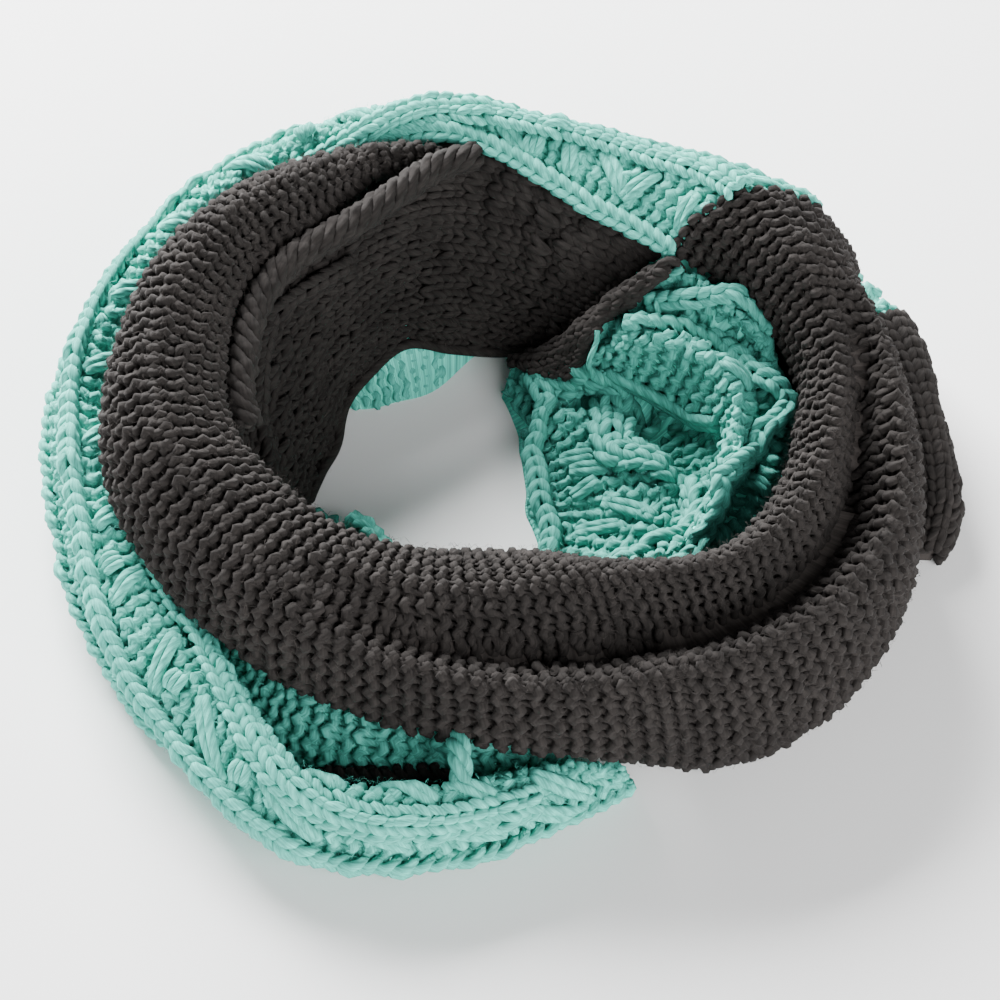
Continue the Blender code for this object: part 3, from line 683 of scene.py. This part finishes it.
def leaf(tubes, cloth, ends, count=2, lift=0.0014, thick=1.05):
    """A bundle of long slipped stitches between two points of the cloth."""
    yarn = bpy.context.scene.scarf_yarn
    along, across = path_on(cloth, ends, FINE_STEP)
    offsets = (np.arange(count) - (count - 1) / 2) * STRAND_GAP * yarn.radius * thick
    strands(tubes, cloth, along, across, offsets, lift, thick * yarn.radius)


def knot(tubes, cloth, place):
    """A small bobble of short loops side by side."""
    yarn = bpy.context.scene.scarf_yarn
    along, across = place[0] * MM, place[1]
    reach = KNOT_REACH / float(cloth.width(along))
    line = ((along / MM, across - reach), (along / MM, across + reach))
    path = path_on(cloth, line, KNOT_STEP)
    offsets = (np.arange(KNOT_LOOPS) - (KNOT_LOOPS - 1) / 2) * KNOT_GAP * yarn.radius
    strands(tubes, cloth, *path, offsets, KNOT_LIFT, 0.9 * yarn.radius)


def fold_tab(tubes, outer, inner):
    """The tab across the open fold: strands twisted round each other in an arch between two cloths."""
    share = np.linspace(0, 1, TAB_STEPS)[:, None]
    start, end = (
        cloth.at(np.array([along * MM]), np.array([across]))[0]
        for cloth, (along, across) in ((outer, TAB_START), (inner, TAB_END))
    )
    rise = (TAB_ARCH * np.sin(math.pi * share) - TAB_SINK) * MM
    middle = start * (1 - share) + end * share + UP * rise
    run = unit(np.gradient(middle, axis=0))
    side = unit(np.cross(run, UP))
    wide, deep = TAB_TWIST
    for strand in range(TAB_STRANDS):
        turn = 2 * math.pi * (TAB_TURNS * share + strand / TAB_STRANDS)
        out = wide * np.cos(turn) * side + deep * np.sin(turn) * np.cross(side, run)
        tubes.add(middle + out * MM, UP, 1.15 * bpy.context.scene.scarf_yarn.radius, 8)


def loose_fibres(node, cloth):
    """Short fine fibres that stand a little off the stitches, as narrow open ribbons."""
    number, seed = FIBRES[node]
    noise = np.random.default_rng(seed)
    along = noise.uniform(0.003, cloth.length - 0.003, number)
    points, ups = cloth.at(along, noise.uniform(0.03, 0.97, number))
    run = noise.normal(size=(number, 3))
    run = unit(run - (run * ups).sum(axis=1, keepdims=True) * ups)
    side = np.cross(ups, run)
    least, most = FIBRE_LENGTH
    length, bend = noise.uniform(least * MM, most * MM, (2, number, 1))
    least, most = FIBRE_RISE
    rise = noise.uniform(least * MM, most * MM, (number, 1))
    strips = []
    for share in np.linspace(0, 1, FIBRE_POINTS):
        arch = math.sin(math.pi * share)
        lift = (FIBRE_CLEARANCE * MM + rise * arch) * ups
        middle = points + length * share * run + 0.4 * bend * arch * side + lift
        half = FIBRE_HALF_WIDTH * MM * (1.1 - share) * side
        strips.append(np.stack([middle - half, middle + half], axis=1))
    grid = np.stack(strips, axis=1)
    grid[..., 2] = np.maximum(grid[..., 2], 0.0)
    index = np.arange(number * FIBRE_POINTS * 2).reshape(number, FIBRE_POINTS, 2)
    name = f"{node}_fibres"
    return add_piece(name, flat_mesh(name, grid, index), node.split("_")[0] + " fibre", node)


def ribbon(cloth, along, across, half_width, height, columns=13):
    """A narrow crowned cloth on another one, along a path of distances and shares across."""
    centre, ups = cloth.at(along, across)
    run = unit(np.gradient(centre, axis=0))
    side = unit(np.cross(ups, run))
    place = np.linspace(-1, 1, columns)
    rise = height * (1 - place**2)
    lift = ups[:, None] * rise[:, None]
    points = centre[:, None] + side[:, None] * (half_width * place[:, None]) + lift
    tilt = 2.0 * height / half_width * place
    normals = unit(ups[:, None] + side[:, None] * tilt[:, None])
    return Cloth(points, normals)


def strands(tubes, cloth, along, across, offsets, lift, yarn):
    """Long slipped strands side by side along a path, their ends tucked in."""
    steps = np.linspace(0, 1, len(along))
    for offset in offsets:
        centre, ups = cloth.at(along, across)
        run = unit(np.gradient(centre, axis=0))
        side = unit(np.cross(ups, run))
        rise = lift * np.clip(np.sin(math.pi * steps), 0, 1) ** 0.5 - STRAND_TUCK
        spread = offset * (STRAND_END_SPREAD + (1 - STRAND_END_SPREAD) * np.sin(math.pi * steps))
        line = centre + side * spread[:, None] + ups * rise[:, None]
        tubes.add(line, ups, yarn)


def under_cloth(node, cloth, lower, step=UNDER_STEP):
    """The closed cloth under the stitches: its skin moved inwards, and the hidden layers below it."""
    skin = (cloth.points - cloth.normals * CLOTH_DEPTH * MM)[:, ::step]
    skin[..., 2] = np.maximum(skin[..., 2], 0.0)
    rings = np.concatenate([skin, lower], axis=1)
    rows, columns = rings.shape[:2]
    index = np.arange(rows * columns).reshape(rows, columns)
    faces = grid_faces(np.hstack([index, index[:, :1]]))
    gaps = np.linalg.norm(np.diff(rings, axis=1), axis=2)
    across = np.concatenate([np.zeros((rows, 1)), np.cumsum(gaps, axis=1)], axis=1)
    ahead = np.repeat(cloth.along[:, None], columns, axis=1)
    uv = np.stack([ahead, across], axis=-1).reshape(-1, 2)[faces].reshape(-1, 2)
    name = f"{node}_cloth"
    data = grid_mesh(name, rings.reshape(-1, 3), faces, uv)
    close_ends(data, index)
    # Its colour is painted lighter than the yarn: painted light in the gaps between stitches
    return add_piece(name, data, node.split("_")[0] + " under", node)


def edge_cloth(node, table):
    """A cloth whose section runs from the inside out, with the cloth under its stitches."""
    cloth = Cloth.from_table(table, 5)
    cloth.normals = -cloth.normals
    return cloth, under_cloth(node, cloth, cloth.points[:, :0])


def flat_mesh(name, points, index):
    """An open mesh through a grid of points, with its UV map seen from above."""
    flat = points.reshape(-1, 3)
    faces = grid_faces(index)
    return grid_mesh(name, flat, faces, flat[faces][..., :2].reshape(-1, 2))


def close_ends(data, index):
    """Faces over both open ends of a tube of rings, with all faces then turned outwards."""
    solid = bmesh.new()
    solid.from_mesh(data)
    solid.verts.ensure_lookup_table()
    for ring in (index[0], index[-1][::-1]):
        solid.faces.new([solid.verts[int(k)] for k in ring])
    bmesh.ops.triangulate(solid, faces=[face for face in solid.faces if len(face.verts) > 4])
    bmesh.ops.recalc_face_normals(solid, faces=solid.faces)
    if solid.calc_volume(signed=True) < 0:
        bmesh.ops.reverse_faces(solid, faces=solid.faces)
    solid.to_mesh(data)
    solid.free()
    data.shade_smooth()


def lower_points(table, count, total, bearings, ground=False):
    """World points of the hidden side of a section, after its first count points."""
    places, values = table_values(table)
    rows = through_rows(places, values, bearings)
    found = []
    for bearing, row in zip(bearings, rows):
        section = row[1 : 1 + 2 * total].reshape(total, 2)
        extra = section[count:]
        share = np.linspace(0.85, 0.15, max(len(extra), 1))[: len(extra)]
        if ground:
            extra = np.vstack([extra, [section[0, 0], 0.0]])
            share = np.append(np.ones(total - count), 0.0)
        extra[:, 1] = np.maximum(extra[:, 1], 0.0)
        found.append(standing(extra, bearing, row[0], share))
    return np.array(found)


def add_node(tree, kind, inputs=None, **settings):
    """A shader node with its settings, and each of its inputs set to a value or linked to a socket."""
    node = tree.nodes.new("ShaderNode" + kind)
    for name, value in settings.items():
        setattr(node, name, value)
    for name, value in (inputs or {}).items():
        if isinstance(value, bpy.types.NodeSocket):
            tree.links.new(value, node.inputs[name])
        else:
            node.inputs[name].default_value = value
    return node


def yarn_nodes(name, colour, shade, ply_pitch):
    """Plied woollen yarn: tone that drifts, fibres, and a twist that follows the yarn's UV map."""
    yarn = bpy.context.scene.scarf_yarn
    material = bpy.data.materials.new(name)
    material.use_nodes = True
    tree = material.node_tree
    place = add_node(tree, "TexCoord").outputs["Object"]
    uv = add_node(tree, "UVMap", uv_map="yarn").outputs["UV"]

    # The plies: a sine of the distance along and round the yarn
    slope = (1.5 / ply_pitch, 3.0, 0.0)
    twist = add_node(tree, "VectorMath", {0: uv, 1: slope}, operation="DOT_PRODUCT").outputs["Value"]
    turn = add_node(tree, "Math", {0: twist, 1: 2 * math.pi}, operation="MULTIPLY").outputs[0]
    ply = add_node(tree, "Math", {0: turn}, operation="SINE").outputs[0]
    ply = add_node(tree, "MapRange", {"Value": ply, "From Min": -1.0, "To Min": 0.0}).outputs["Result"]

    # The fibres: fine noise that is drawn out along the plies
    ahead = add_node(tree, "SeparateXYZ", {0: uv}).outputs["X"]
    ahead = add_node(tree, "Math", {0: ahead, 1: 260.0}, operation="MULTIPLY").outputs[0]
    lay = add_node(tree, "Math", {0: twist, 1: 5.0}, operation="MULTIPLY").outputs[0]
    strand = add_node(tree, "CombineXYZ", {"X": ahead, "Y": lay}).outputs[0]
    fibre = add_node(tree, "TexNoise", {"Vector": strand, "Scale": 1.0, "Detail": 4.0}).outputs["Fac"]

    # The colour: two tones, flecks along the fibres, and painted shade in the grooves between plies with a
    # faint painted highlight on their crowns
    drift = add_node(tree, "TexNoise", {"Vector": place, "Scale": 45.0, "Detail": 3.0}).outputs["Fac"]
    tone = add_node(tree, "MapRange", {"Value": drift, "From Min": 0.3, "From Max": 0.7}).outputs["Result"]
    tones = {"Factor": tone, "A": (*shade, 1.0), "B": (*colour, 1.0)}
    blend = add_node(tree, "Mix", tones, data_type="RGBA").outputs["Result"]
    flecks = {"Value": fibre, "From Min": 0.35, "From Max": 0.65, "To Min": 0.70, "To Max": 1.30}
    flecks = add_node(tree, "MapRange", flecks).outputs["Result"]
    # Painted shade in the ply grooves and a faint painted highlight on the ply crowns
    ply_painted_shade = add_node(tree, "MapRange", {"Value": ply, "To Min": 0.84, "To Max": 1.06}).outputs["Result"]
    both = add_node(tree, "Math", {0: flecks, 1: ply_painted_shade}, operation="MULTIPLY").outputs[0]
    scaled = add_node(tree, "VectorMath", {0: blend, "Scale": both}, operation="SCALE").outputs["Vector"]

    # The relief: plies, with fibres on them
    relief = {"Strength": 0.5, "Distance": 0.0006, "Height": ply}
    relief = add_node(tree, "Bump", relief).outputs["Normal"]
    relief = {"Strength": 0.5, "Distance": 0.0003, "Height": fibre, "Normal": relief}
    relief = add_node(tree, "Bump", relief).outputs["Normal"]

    shader = tree.nodes["Principled BSDF"]
    tree.links.new(scaled, shader.inputs["Base Color"])
    tree.links.new(relief, shader.inputs["Normal"])
    shader.inputs["Roughness"].default_value = yarn.roughness
    shader.inputs["Specular IOR Level"].default_value = 0.2
    shader.inputs["Sheen Weight"].default_value = yarn.fuzz
    shader.inputs["Sheen Roughness"].default_value = 0.5
    shader.inputs["Sheen Tint"].default_value = (*[min(1.0, 1.3 * c + 0.05) for c in colour], 1.0)
    return material


def scarf_material(name):
    """A material of the scarf, made the first time that it is asked for."""
    found = bpy.data.materials.get(name)
    if found:
        return found
    yarn = bpy.context.scene.scarf_yarn
    bright, dark = YARN_TONES[name]
    colour = [bright * c for c in getattr(yarn, name.split()[0])]
    return yarn_nodes(name, colour, [dark * c for c in colour], yarn.ply_pitch)


class ScarfYarn(bpy.types.PropertyGroup):
    """Sizes and colours of the yarn and its stitches."""

    radius: FloatProperty(
        name="Yarn radius", description="Half the yarn's thickness", default=0.00195, subtype="DISTANCE"
    )
    row_spacing: FloatProperty(
        name="Row spacing", description="From one row to the next", default=0.0066, subtype="DISTANCE"
    )
    stitch_width: FloatProperty(
        name="Stitch width", description="From one wale to the next", default=0.0076, subtype="DISTANCE"
    )
    loop_height: FloatProperty(
        name="Loop height", description="Half the height of a loop", default=0.0043, subtype="DISTANCE"
    )
    loop_depth: FloatProperty(
        name="Loop depth", description="How far heads stand before legs", default=0.0014, subtype="DISTANCE"
    )
    loop_swing: FloatProperty(
        name="Loop swing", description="How far a loop bulges, as a share of its width", default=0.10
    )
    yarn_depth: FloatProperty(
        name="Yarn depth", description="Middle of the yarn below the skin", default=0.0024, subtype="DISTANCE"
    )
    ply_pitch: FloatProperty(
        name="Ply pitch", description="Length of one twist of the plies", default=0.0095, subtype="DISTANCE"
    )
    fuzz: FloatProperty(name="Fuzz", description="Sheen of the loose fibres", default=0.06, subtype="FACTOR")
    roughness: FloatProperty(
        name="Roughness", description="Roughness of the wool", default=0.95, subtype="FACTOR"
    )
    charcoal: FloatVectorProperty(
        name="Charcoal", description="Charcoal yarn", default=(0.0212, 0.0183, 0.0170), subtype="COLOR"
    )
    mint: FloatVectorProperty(
        name="Mint", description="Mint yarn", default=(0.097, 0.470, 0.388), subtype="COLOR"
    )


class ScarfStage(bpy.types.PropertyGroup):
    """The floor, lights and camera."""

    elevation: FloatProperty(
        name="Elevation", description="Camera above the horizon", default=math.radians(50), subtype="ANGLE"
    )
    distance: FloatProperty(
        name="Distance", description="Camera to its target", default=1.15, subtype="DISTANCE"
    )
    lens: FloatProperty(name="Lens", description="Focal length in millimetres", default=109.8)
    target: FloatVectorProperty(
        name="Target", description="Point at the middle of the picture", default=(-0.0002, -0.0213, 0.040),
        subtype="XYZ",
    )
    floor: FloatVectorProperty(
        name="Floor", description="Colour of the floor", default=(0.88, 0.88, 0.88), subtype="COLOR"
    )
    key: FloatProperty(
        name="Key light", description="Power of the large light", default=310.0, subtype="POWER"
    )
    fill: FloatProperty(name="Walls", description="Strength of the light from the sides", default=3.5)
    overhead: FloatProperty(name="Ceiling", description="Strength of the light from above", default=0.1)


class SCARF_OT_charcoal_turn(bpy.types.Operator):
    """Knit the purl side of the charcoal band, with its two rolls"""

    bl_idname = "scarf.charcoal_turn"
    bl_label = "Charcoal turn"

    def execute(self, context):
        node = "charcoal_turn"
        cloth = Cloth.from_table(CHARCOAL_TURN, 7, crease=ROLL_CREASE)
        under = under_cloth(node, cloth, lower_points(CHARCOAL_TURN, 7, 9, cloth.bearings))
        valley = valley_line(CHARCOAL_TURN, cloth, ROLL_CREASE[0])
        past = [(along, share + OUTER_PANEL_OVERLAP) for along, share in valley]
        short = [(along, share - INNER_PANEL_OVERLAP) for along, share in valley]
        closer = ROLL_ROWS * context.scene.scarf_yarn.row_spacing
        for k in range(3):
            tubes = YarnTubes()
            knit_rows(tubes, cloth, "purl", last=past, part=(k, 3), seed=k, steps=12, loose=1.4)
            knit_rows(tubes, cloth, "purl", short, 1.0, closer, (k, 3), seed=5 + k, steps=12, loose=1.4)
            tubes.piece(f"charcoal_turn_knit_{k + 1}", "charcoal yarn", node)
        loose_fibres(node, cloth)
        return {"FINISHED"}


class SCARF_OT_inner_wall(bpy.types.Operator):
    """Knit the knit side of the charcoal band inside the coil"""

    bl_idname = "scarf.inner_wall"
    bl_label = "Inner wall"

    def execute(self, context):
        node = "charcoal_inner_wall"
        yarn = context.scene.scarf_yarn
        closer = CLOSE_ROWS * yarn.row_spacing
        cloth = Cloth.from_table(INNER_WALL, 5)
        back = cloth.points - cloth.normals * INNER_WALL_THICKNESS * MM
        back = back[:, ::INNER_WALL_STEP][:, ::-1]
        back[..., 2] = np.maximum(back[..., 2], 0.0005)
        under = under_cloth(node, cloth, back, INNER_WALL_STEP)
        tubes = YarnTubes()
        knit_rows(tubes, cloth, "knit", spacing=closer, scale=0.8, thick=0.82, seed=11, steps=10, loose=2.5)
        rope(tubes, cloth, WALL_COLUMN, 1, 2.5, 1.0, seed=15)
        hem = np.linspace(0.002, cloth.length - 0.002, 80)
        strands(tubes, cloth, hem, np.full(80, WALL_HEM), (0.0,), 0.0015, 1.1 * yarn.radius)
        flap = Cloth.from_table(MINT_INNER_TURN, 8)
        flap.points = flap.points + END_SHIFT * MM
        knit_rows(
            tubes, flap, "knit", 0.0, INNER_DARK_END, closer, scale=0.8, thick=0.85, lift=0.0035, seed=16,
            steps=10,
        )
        knit = tubes.piece("charcoal_inner_wall_knit", "charcoal yarn", node)
        along = np.linspace(*END_BACKING, 28)[:, None] * MM
        across = np.linspace(0, 1, 12) * share_at(INNER_DARK_END, along)
        points = flap.at(np.broadcast_to(along, across.shape), across)[0]
        data = flat_mesh("charcoal_inner_wall_end", points, np.arange(across.size).reshape(across.shape))
        # The backing is painted lighter than the yarn: painted light in the gaps between the stitches over it
        end = add_piece("charcoal_inner_wall_end", data, "charcoal under", node)
        fibres = loose_fibres(node, cloth)
        return {"FINISHED"}


class SCARF_OT_edge_curl(bpy.types.Operator):
    """Knit the curled selvedge along the top of the inner wall"""

    bl_idname = "scarf.edge_curl"
    bl_label = "Edge curl"

    def execute(self, context):
        node = "charcoal_edge_curl"
        yarn = context.scene.scarf_yarn
        places, values = table_values(EDGE_CURL)
        bearings = np.linspace(places[0], places[-1], CURL_STEPS)
        rows = through_rows(places, values, bearings)
        middle = np.array([standing(row[None], b, 0, np.zeros(1))[0] for b, row in zip(bearings, rows)])
        run = unit(np.gradient(middle, axis=0))
        side = unit(np.cross(run, UP))
        top = np.cross(side, run)
        distance = length_along(middle) / MM
        tubes = YarnTubes()
        for k in range(CURL_STRANDS):
            angle = 2 * math.pi * (k / CURL_STRANDS + distance / CURL_TWIST)
            out = side * np.cos(angle)[:, None] + top * np.sin(angle)[:, None]
            reach = (CURL_REACH + CURL_WAVE * np.sin(9 * angle + k))[:, None] * MM
            swell = 1 + CURL_SWELL * np.sin(2 * math.pi * distance / CURL_SWELLING + 1.3 * k)
            tubes.add(middle + reach * out, out, CURL_YARN * yarn.radius * swell, 8)
        core = YarnTubes()
        core.add(middle, UP, CURL_CORE * MM, 8)
        tubes.piece("charcoal_edge_curl_knit", "charcoal yarn", node)
        # The core is painted lighter than the yarn: painted light in the gaps between the curl's strands
        core.piece("charcoal_edge_curl_core", "charcoal under", node)
        return {"FINISHED"}


class SCARF_OT_outer_edge(bpy.types.Operator):
    """Knit the outer selvedge that shows on the right"""

    bl_idname = "scarf.outer_edge"
    bl_label = "Outer edge"

    def execute(self, context):
        node = "charcoal_outer_edge"
        cloth, under = edge_cloth(node, OUTER_EDGE)
        tubes = YarnTubes()
        closer = SELVEDGE_ROWS * context.scene.scarf_yarn.row_spacing
        knit_rows(tubes, cloth, "knit", spacing=closer, seed=13)
        knit = tubes.piece("charcoal_outer_edge_knit", "charcoal yarn", node)
        return {"FINISHED"}


class SCARF_OT_mint_turn(bpy.types.Operator):
    """Knit the outer turn of the mint band, with its ropes and leaf strands"""

    bl_idname = "scarf.mint_turn"
    bl_label = "Mint turn"

    def execute(self, context):
        node = "mint_turn"
        cloth = Cloth.from_table(MINT_TURN, 6)
        under = under_cloth(node, cloth, lower_points(MINT_TURN, 6, 8, cloth.bearings, ground=True))
        lines = (0.0, MINT_LOW_COLUMN, MINT_EDGE_COLUMN, MINT_CREST_ROPE, 1.0)
        for k in range(2):
            tubes = YarnTubes()
            for number, (first, last) in enumerate(zip(lines[:-1], lines[1:])):
                knit_rows(
                    tubes, cloth, "purl", first, last, part=(k, 2), lift=-0.001, seed=20 + 3 * k + number,
                    steps=12, loose=1.8,
                )
            tubes.piece(f"mint_turn_knit_{k + 1}", "mint yarn", node)
        tubes = YarnTubes()
        for k, (path, wales, height, scale) in enumerate(MINT_ROPES):
            rope(tubes, cloth, path, wales, height, scale, seed=31 + k)
        for ends in MINT_LEAVES:
            leaf(tubes, cloth, ends)
        for place in MINT_KNOTS:
            knot(tubes, cloth, place)
        first, last = MINT_INSIDE
        rows = [(*row[:2], *row[10:18]) for row in MINT_TURN if first < row[0] < last]
        inside = Cloth.from_table(rows, 4)
        knit_rows(tubes, inside, "purl", 0.2, 1.0, lift=0.0014, seed=36, steps=12)
        rope(tubes, inside, MINT_INSIDE_ROPE, 1, 3.5, 1.15, seed=37)
        tubes.piece("mint_turn_cables", "mint yarn", node)
        loose_fibres(node, cloth)
        return {"FINISHED"}


class SCARF_OT_mint_inner_turn(bpy.types.Operator):
    """Knit the mint band inside the coil and in the open fold at the front"""

    bl_idname = "scarf.mint_inner_turn"
    bl_label = "Mint inner turn"

    def execute(self, context):
        node = "mint_inner_turn"
        cloth = relieved(Cloth.from_table(MINT_INNER_TURN, 8), INNER_FOLDS)
        ground = cloth.points[:, [-1, 0]].copy()
        ground[..., 2] = 0.0
        under = under_cloth(node, cloth, ground)
        tubes = YarnTubes()
        for k, (first, last) in enumerate(INNER_PANELS):
            knit_rows(tubes, cloth, "purl", first, last, lift=-0.001, seed=30 + k, steps=12, loose=1.8)
        # The mint yarn inside the coil is painted darker than the outer mint: painted shade
        knit = [tubes.piece("mint_inner_turn_knit", "mint inner yarn", node)]
        tubes = YarnTubes()
        for k, (path, wales) in enumerate(zip(INNER_ROPES, INNER_ROPE_WALES)):
            rope(tubes, cloth, path, wales, 3.0, 1.15, seed=40 + k)
        leaf(tubes, cloth, INNER_FOLD_EDGE, 2, 0.003, 1.4)
        for ends in INNER_LEAVES:
            leaf(tubes, cloth, ends)
        for ends in SEWN_STRANDS:
            points, ups = cloth.at(*path_on(cloth, ends, FINE_STEP))
            tubes.add(points + SEWN_SHIFT * MM, ups, SEWN_RADIUS * MM)
        fold_tab(tubes, Cloth.from_table(MINT_TURN, 6), cloth)
        knit.append(tubes.piece("mint_inner_turn_cables", "mint inner yarn", node))
        tubes = YarnTubes()
        closer = CLOSE_ROWS * context.scene.scarf_yarn.row_spacing
        knit_rows(tubes, cloth, "knit", FOLD_DARK_LOW, FOLD_DARK_HIGH, closer, lift=0.0035, seed=38)
        tubes.piece("charcoal_turn_inside", "charcoal yarn", "charcoal_turn")
        knit.append(loose_fibres(node, cloth))
        return {"FINISHED"}


class SCARF_OT_mint_under_seam(bpy.types.Operator):
    """Knit the lower mint layer under the seam"""

    bl_idname = "scarf.mint_under_seam"
    bl_label = "Mint under seam"

    def execute(self, context):
        node = "mint_under_seam"
        cloth, under = edge_cloth(node, MINT_UNDER_SEAM)
        tubes = YarnTubes()
        knit_rows(tubes, cloth, "purl", seed=14)
        knit = tubes.piece("mint_under_seam_knit", "mint yarn", node)
        return {"FINISHED"}


class SCARF_OT_stage(bpy.types.Operator):
    """Set the floor, the lights and the camera"""

    bl_idname = "scarf.stage"
    bl_label = "Stage"

    def execute(self, context):
        stage = context.scene.scarf_stage
        bpy.ops.mesh.primitive_plane_add(size=FLOOR_WIDTH, location=(0, 0, -FLOOR_DROP))
        floor = context.object
        floor.name = "floor"
        paper = bpy.data.materials.new("pale paper")
        paper.use_nodes = True
        shader = paper.node_tree.nodes["Principled BSDF"]
        shader.inputs["Base Color"].default_value = (*stage.floor, 1.0)
        shader.inputs["Roughness"].default_value = 0.9
        floor.data.materials.append(paper)
        world = bpy.data.worlds.new("studio")
        context.scene.world = world
        world.use_nodes = True
        tree = world.node_tree
        place = add_node(tree, "TexCoord").outputs["Generated"]
        height = add_node(tree, "SeparateXYZ", {0: place}).outputs["Z"]
        levels = {"From Min": 0.0, "From Max": 0.6, "To Min": stage.fill, "To Max": stage.overhead}
        band = add_node(tree, "MapRange", {"Value": height, **levels})
        sky = tree.nodes["Background"]
        sky.inputs["Color"].default_value = (0.98, 0.99, 1.0, 1.0)
        tree.links.new(band.outputs["Result"], sky.inputs["Strength"])
        for name, (spot, size, share) in LIGHTS.items():
            light = bpy.data.lights.new(name, "AREA")
            light.energy = share * stage.key
            light.size = size
            lamp = bpy.data.objects.new(name, light)
            lamp.location = spot
            lamp.rotation_euler = (-Vector(spot)).to_track_quat("-Z", "Y").to_euler()
            context.scene.collection.objects.link(lamp)
        eye = bpy.data.cameras.new("photo_camera")
        eye.lens = stage.lens
        eye.sensor_width = 36.0
        eye.dof.use_dof = False
        camera = bpy.data.objects.new("photo_camera", eye)
        back = Vector((0, -math.cos(stage.elevation), math.sin(stage.elevation)))
        camera.location = Vector(stage.target) + back * stage.distance
        camera.rotation_euler = (math.radians(90) - stage.elevation, 0, 0)
        context.scene.collection.objects.link(camera)
        context.scene.camera = camera
        return {"FINISHED"}


class SCARF_PT_panel(bpy.types.Panel):
    """Lists the scarf's pieces and sizes"""

    bl_idname = "SCARF_PT_panel"
    bl_label = "Infinity scarf"
    bl_space_type = "VIEW_3D"
    bl_region_type = "UI"
    bl_category = "Scarf"

    def draw(self, context):
        layout = self.layout
        for operator in OPERATORS:
            layout.operator(operator.bl_idname)
        for group in (context.scene.scarf_yarn, context.scene.scarf_stage):
            box = layout.box()
            for name in type(group).__annotations__:
                box.prop(group, name)


OPERATORS = (
    SCARF_OT_charcoal_turn,
    SCARF_OT_inner_wall,
    SCARF_OT_edge_curl,
    SCARF_OT_outer_edge,
    SCARF_OT_mint_turn,
    SCARF_OT_mint_inner_turn,
    SCARF_OT_mint_under_seam,
    SCARF_OT_stage,
)
CLASSES = (ScarfYarn, ScarfStage, *OPERATORS, SCARF_PT_panel)


def register():
    """Register the classes and give the scene its settings."""
    for item in CLASSES:
        bpy.utils.register_class(item)
    bpy.types.Scene.scarf_yarn = PointerProperty(type=ScarfYarn)
    bpy.types.Scene.scarf_stage = PointerProperty(type=ScarfStage)


def unregister():
    """Take the settings and the classes away again."""
    del bpy.types.Scene.scarf_yarn
    del bpy.types.Scene.scarf_stage
    for item in reversed(CLASSES):
        bpy.utils.unregister_class(item)


def main():
    """Register, and make every piece and then the stage in order."""
    register()
    bpy.ops.scarf.charcoal_turn()
    bpy.ops.scarf.inner_wall()
    bpy.ops.scarf.edge_curl()
    bpy.ops.scarf.outer_edge()
    bpy.ops.scarf.mint_turn()
    bpy.ops.scarf.mint_inner_turn()
    bpy.ops.scarf.mint_under_seam()
    bpy.ops.scarf.stage()


if __name__ == "__main__":
    main()
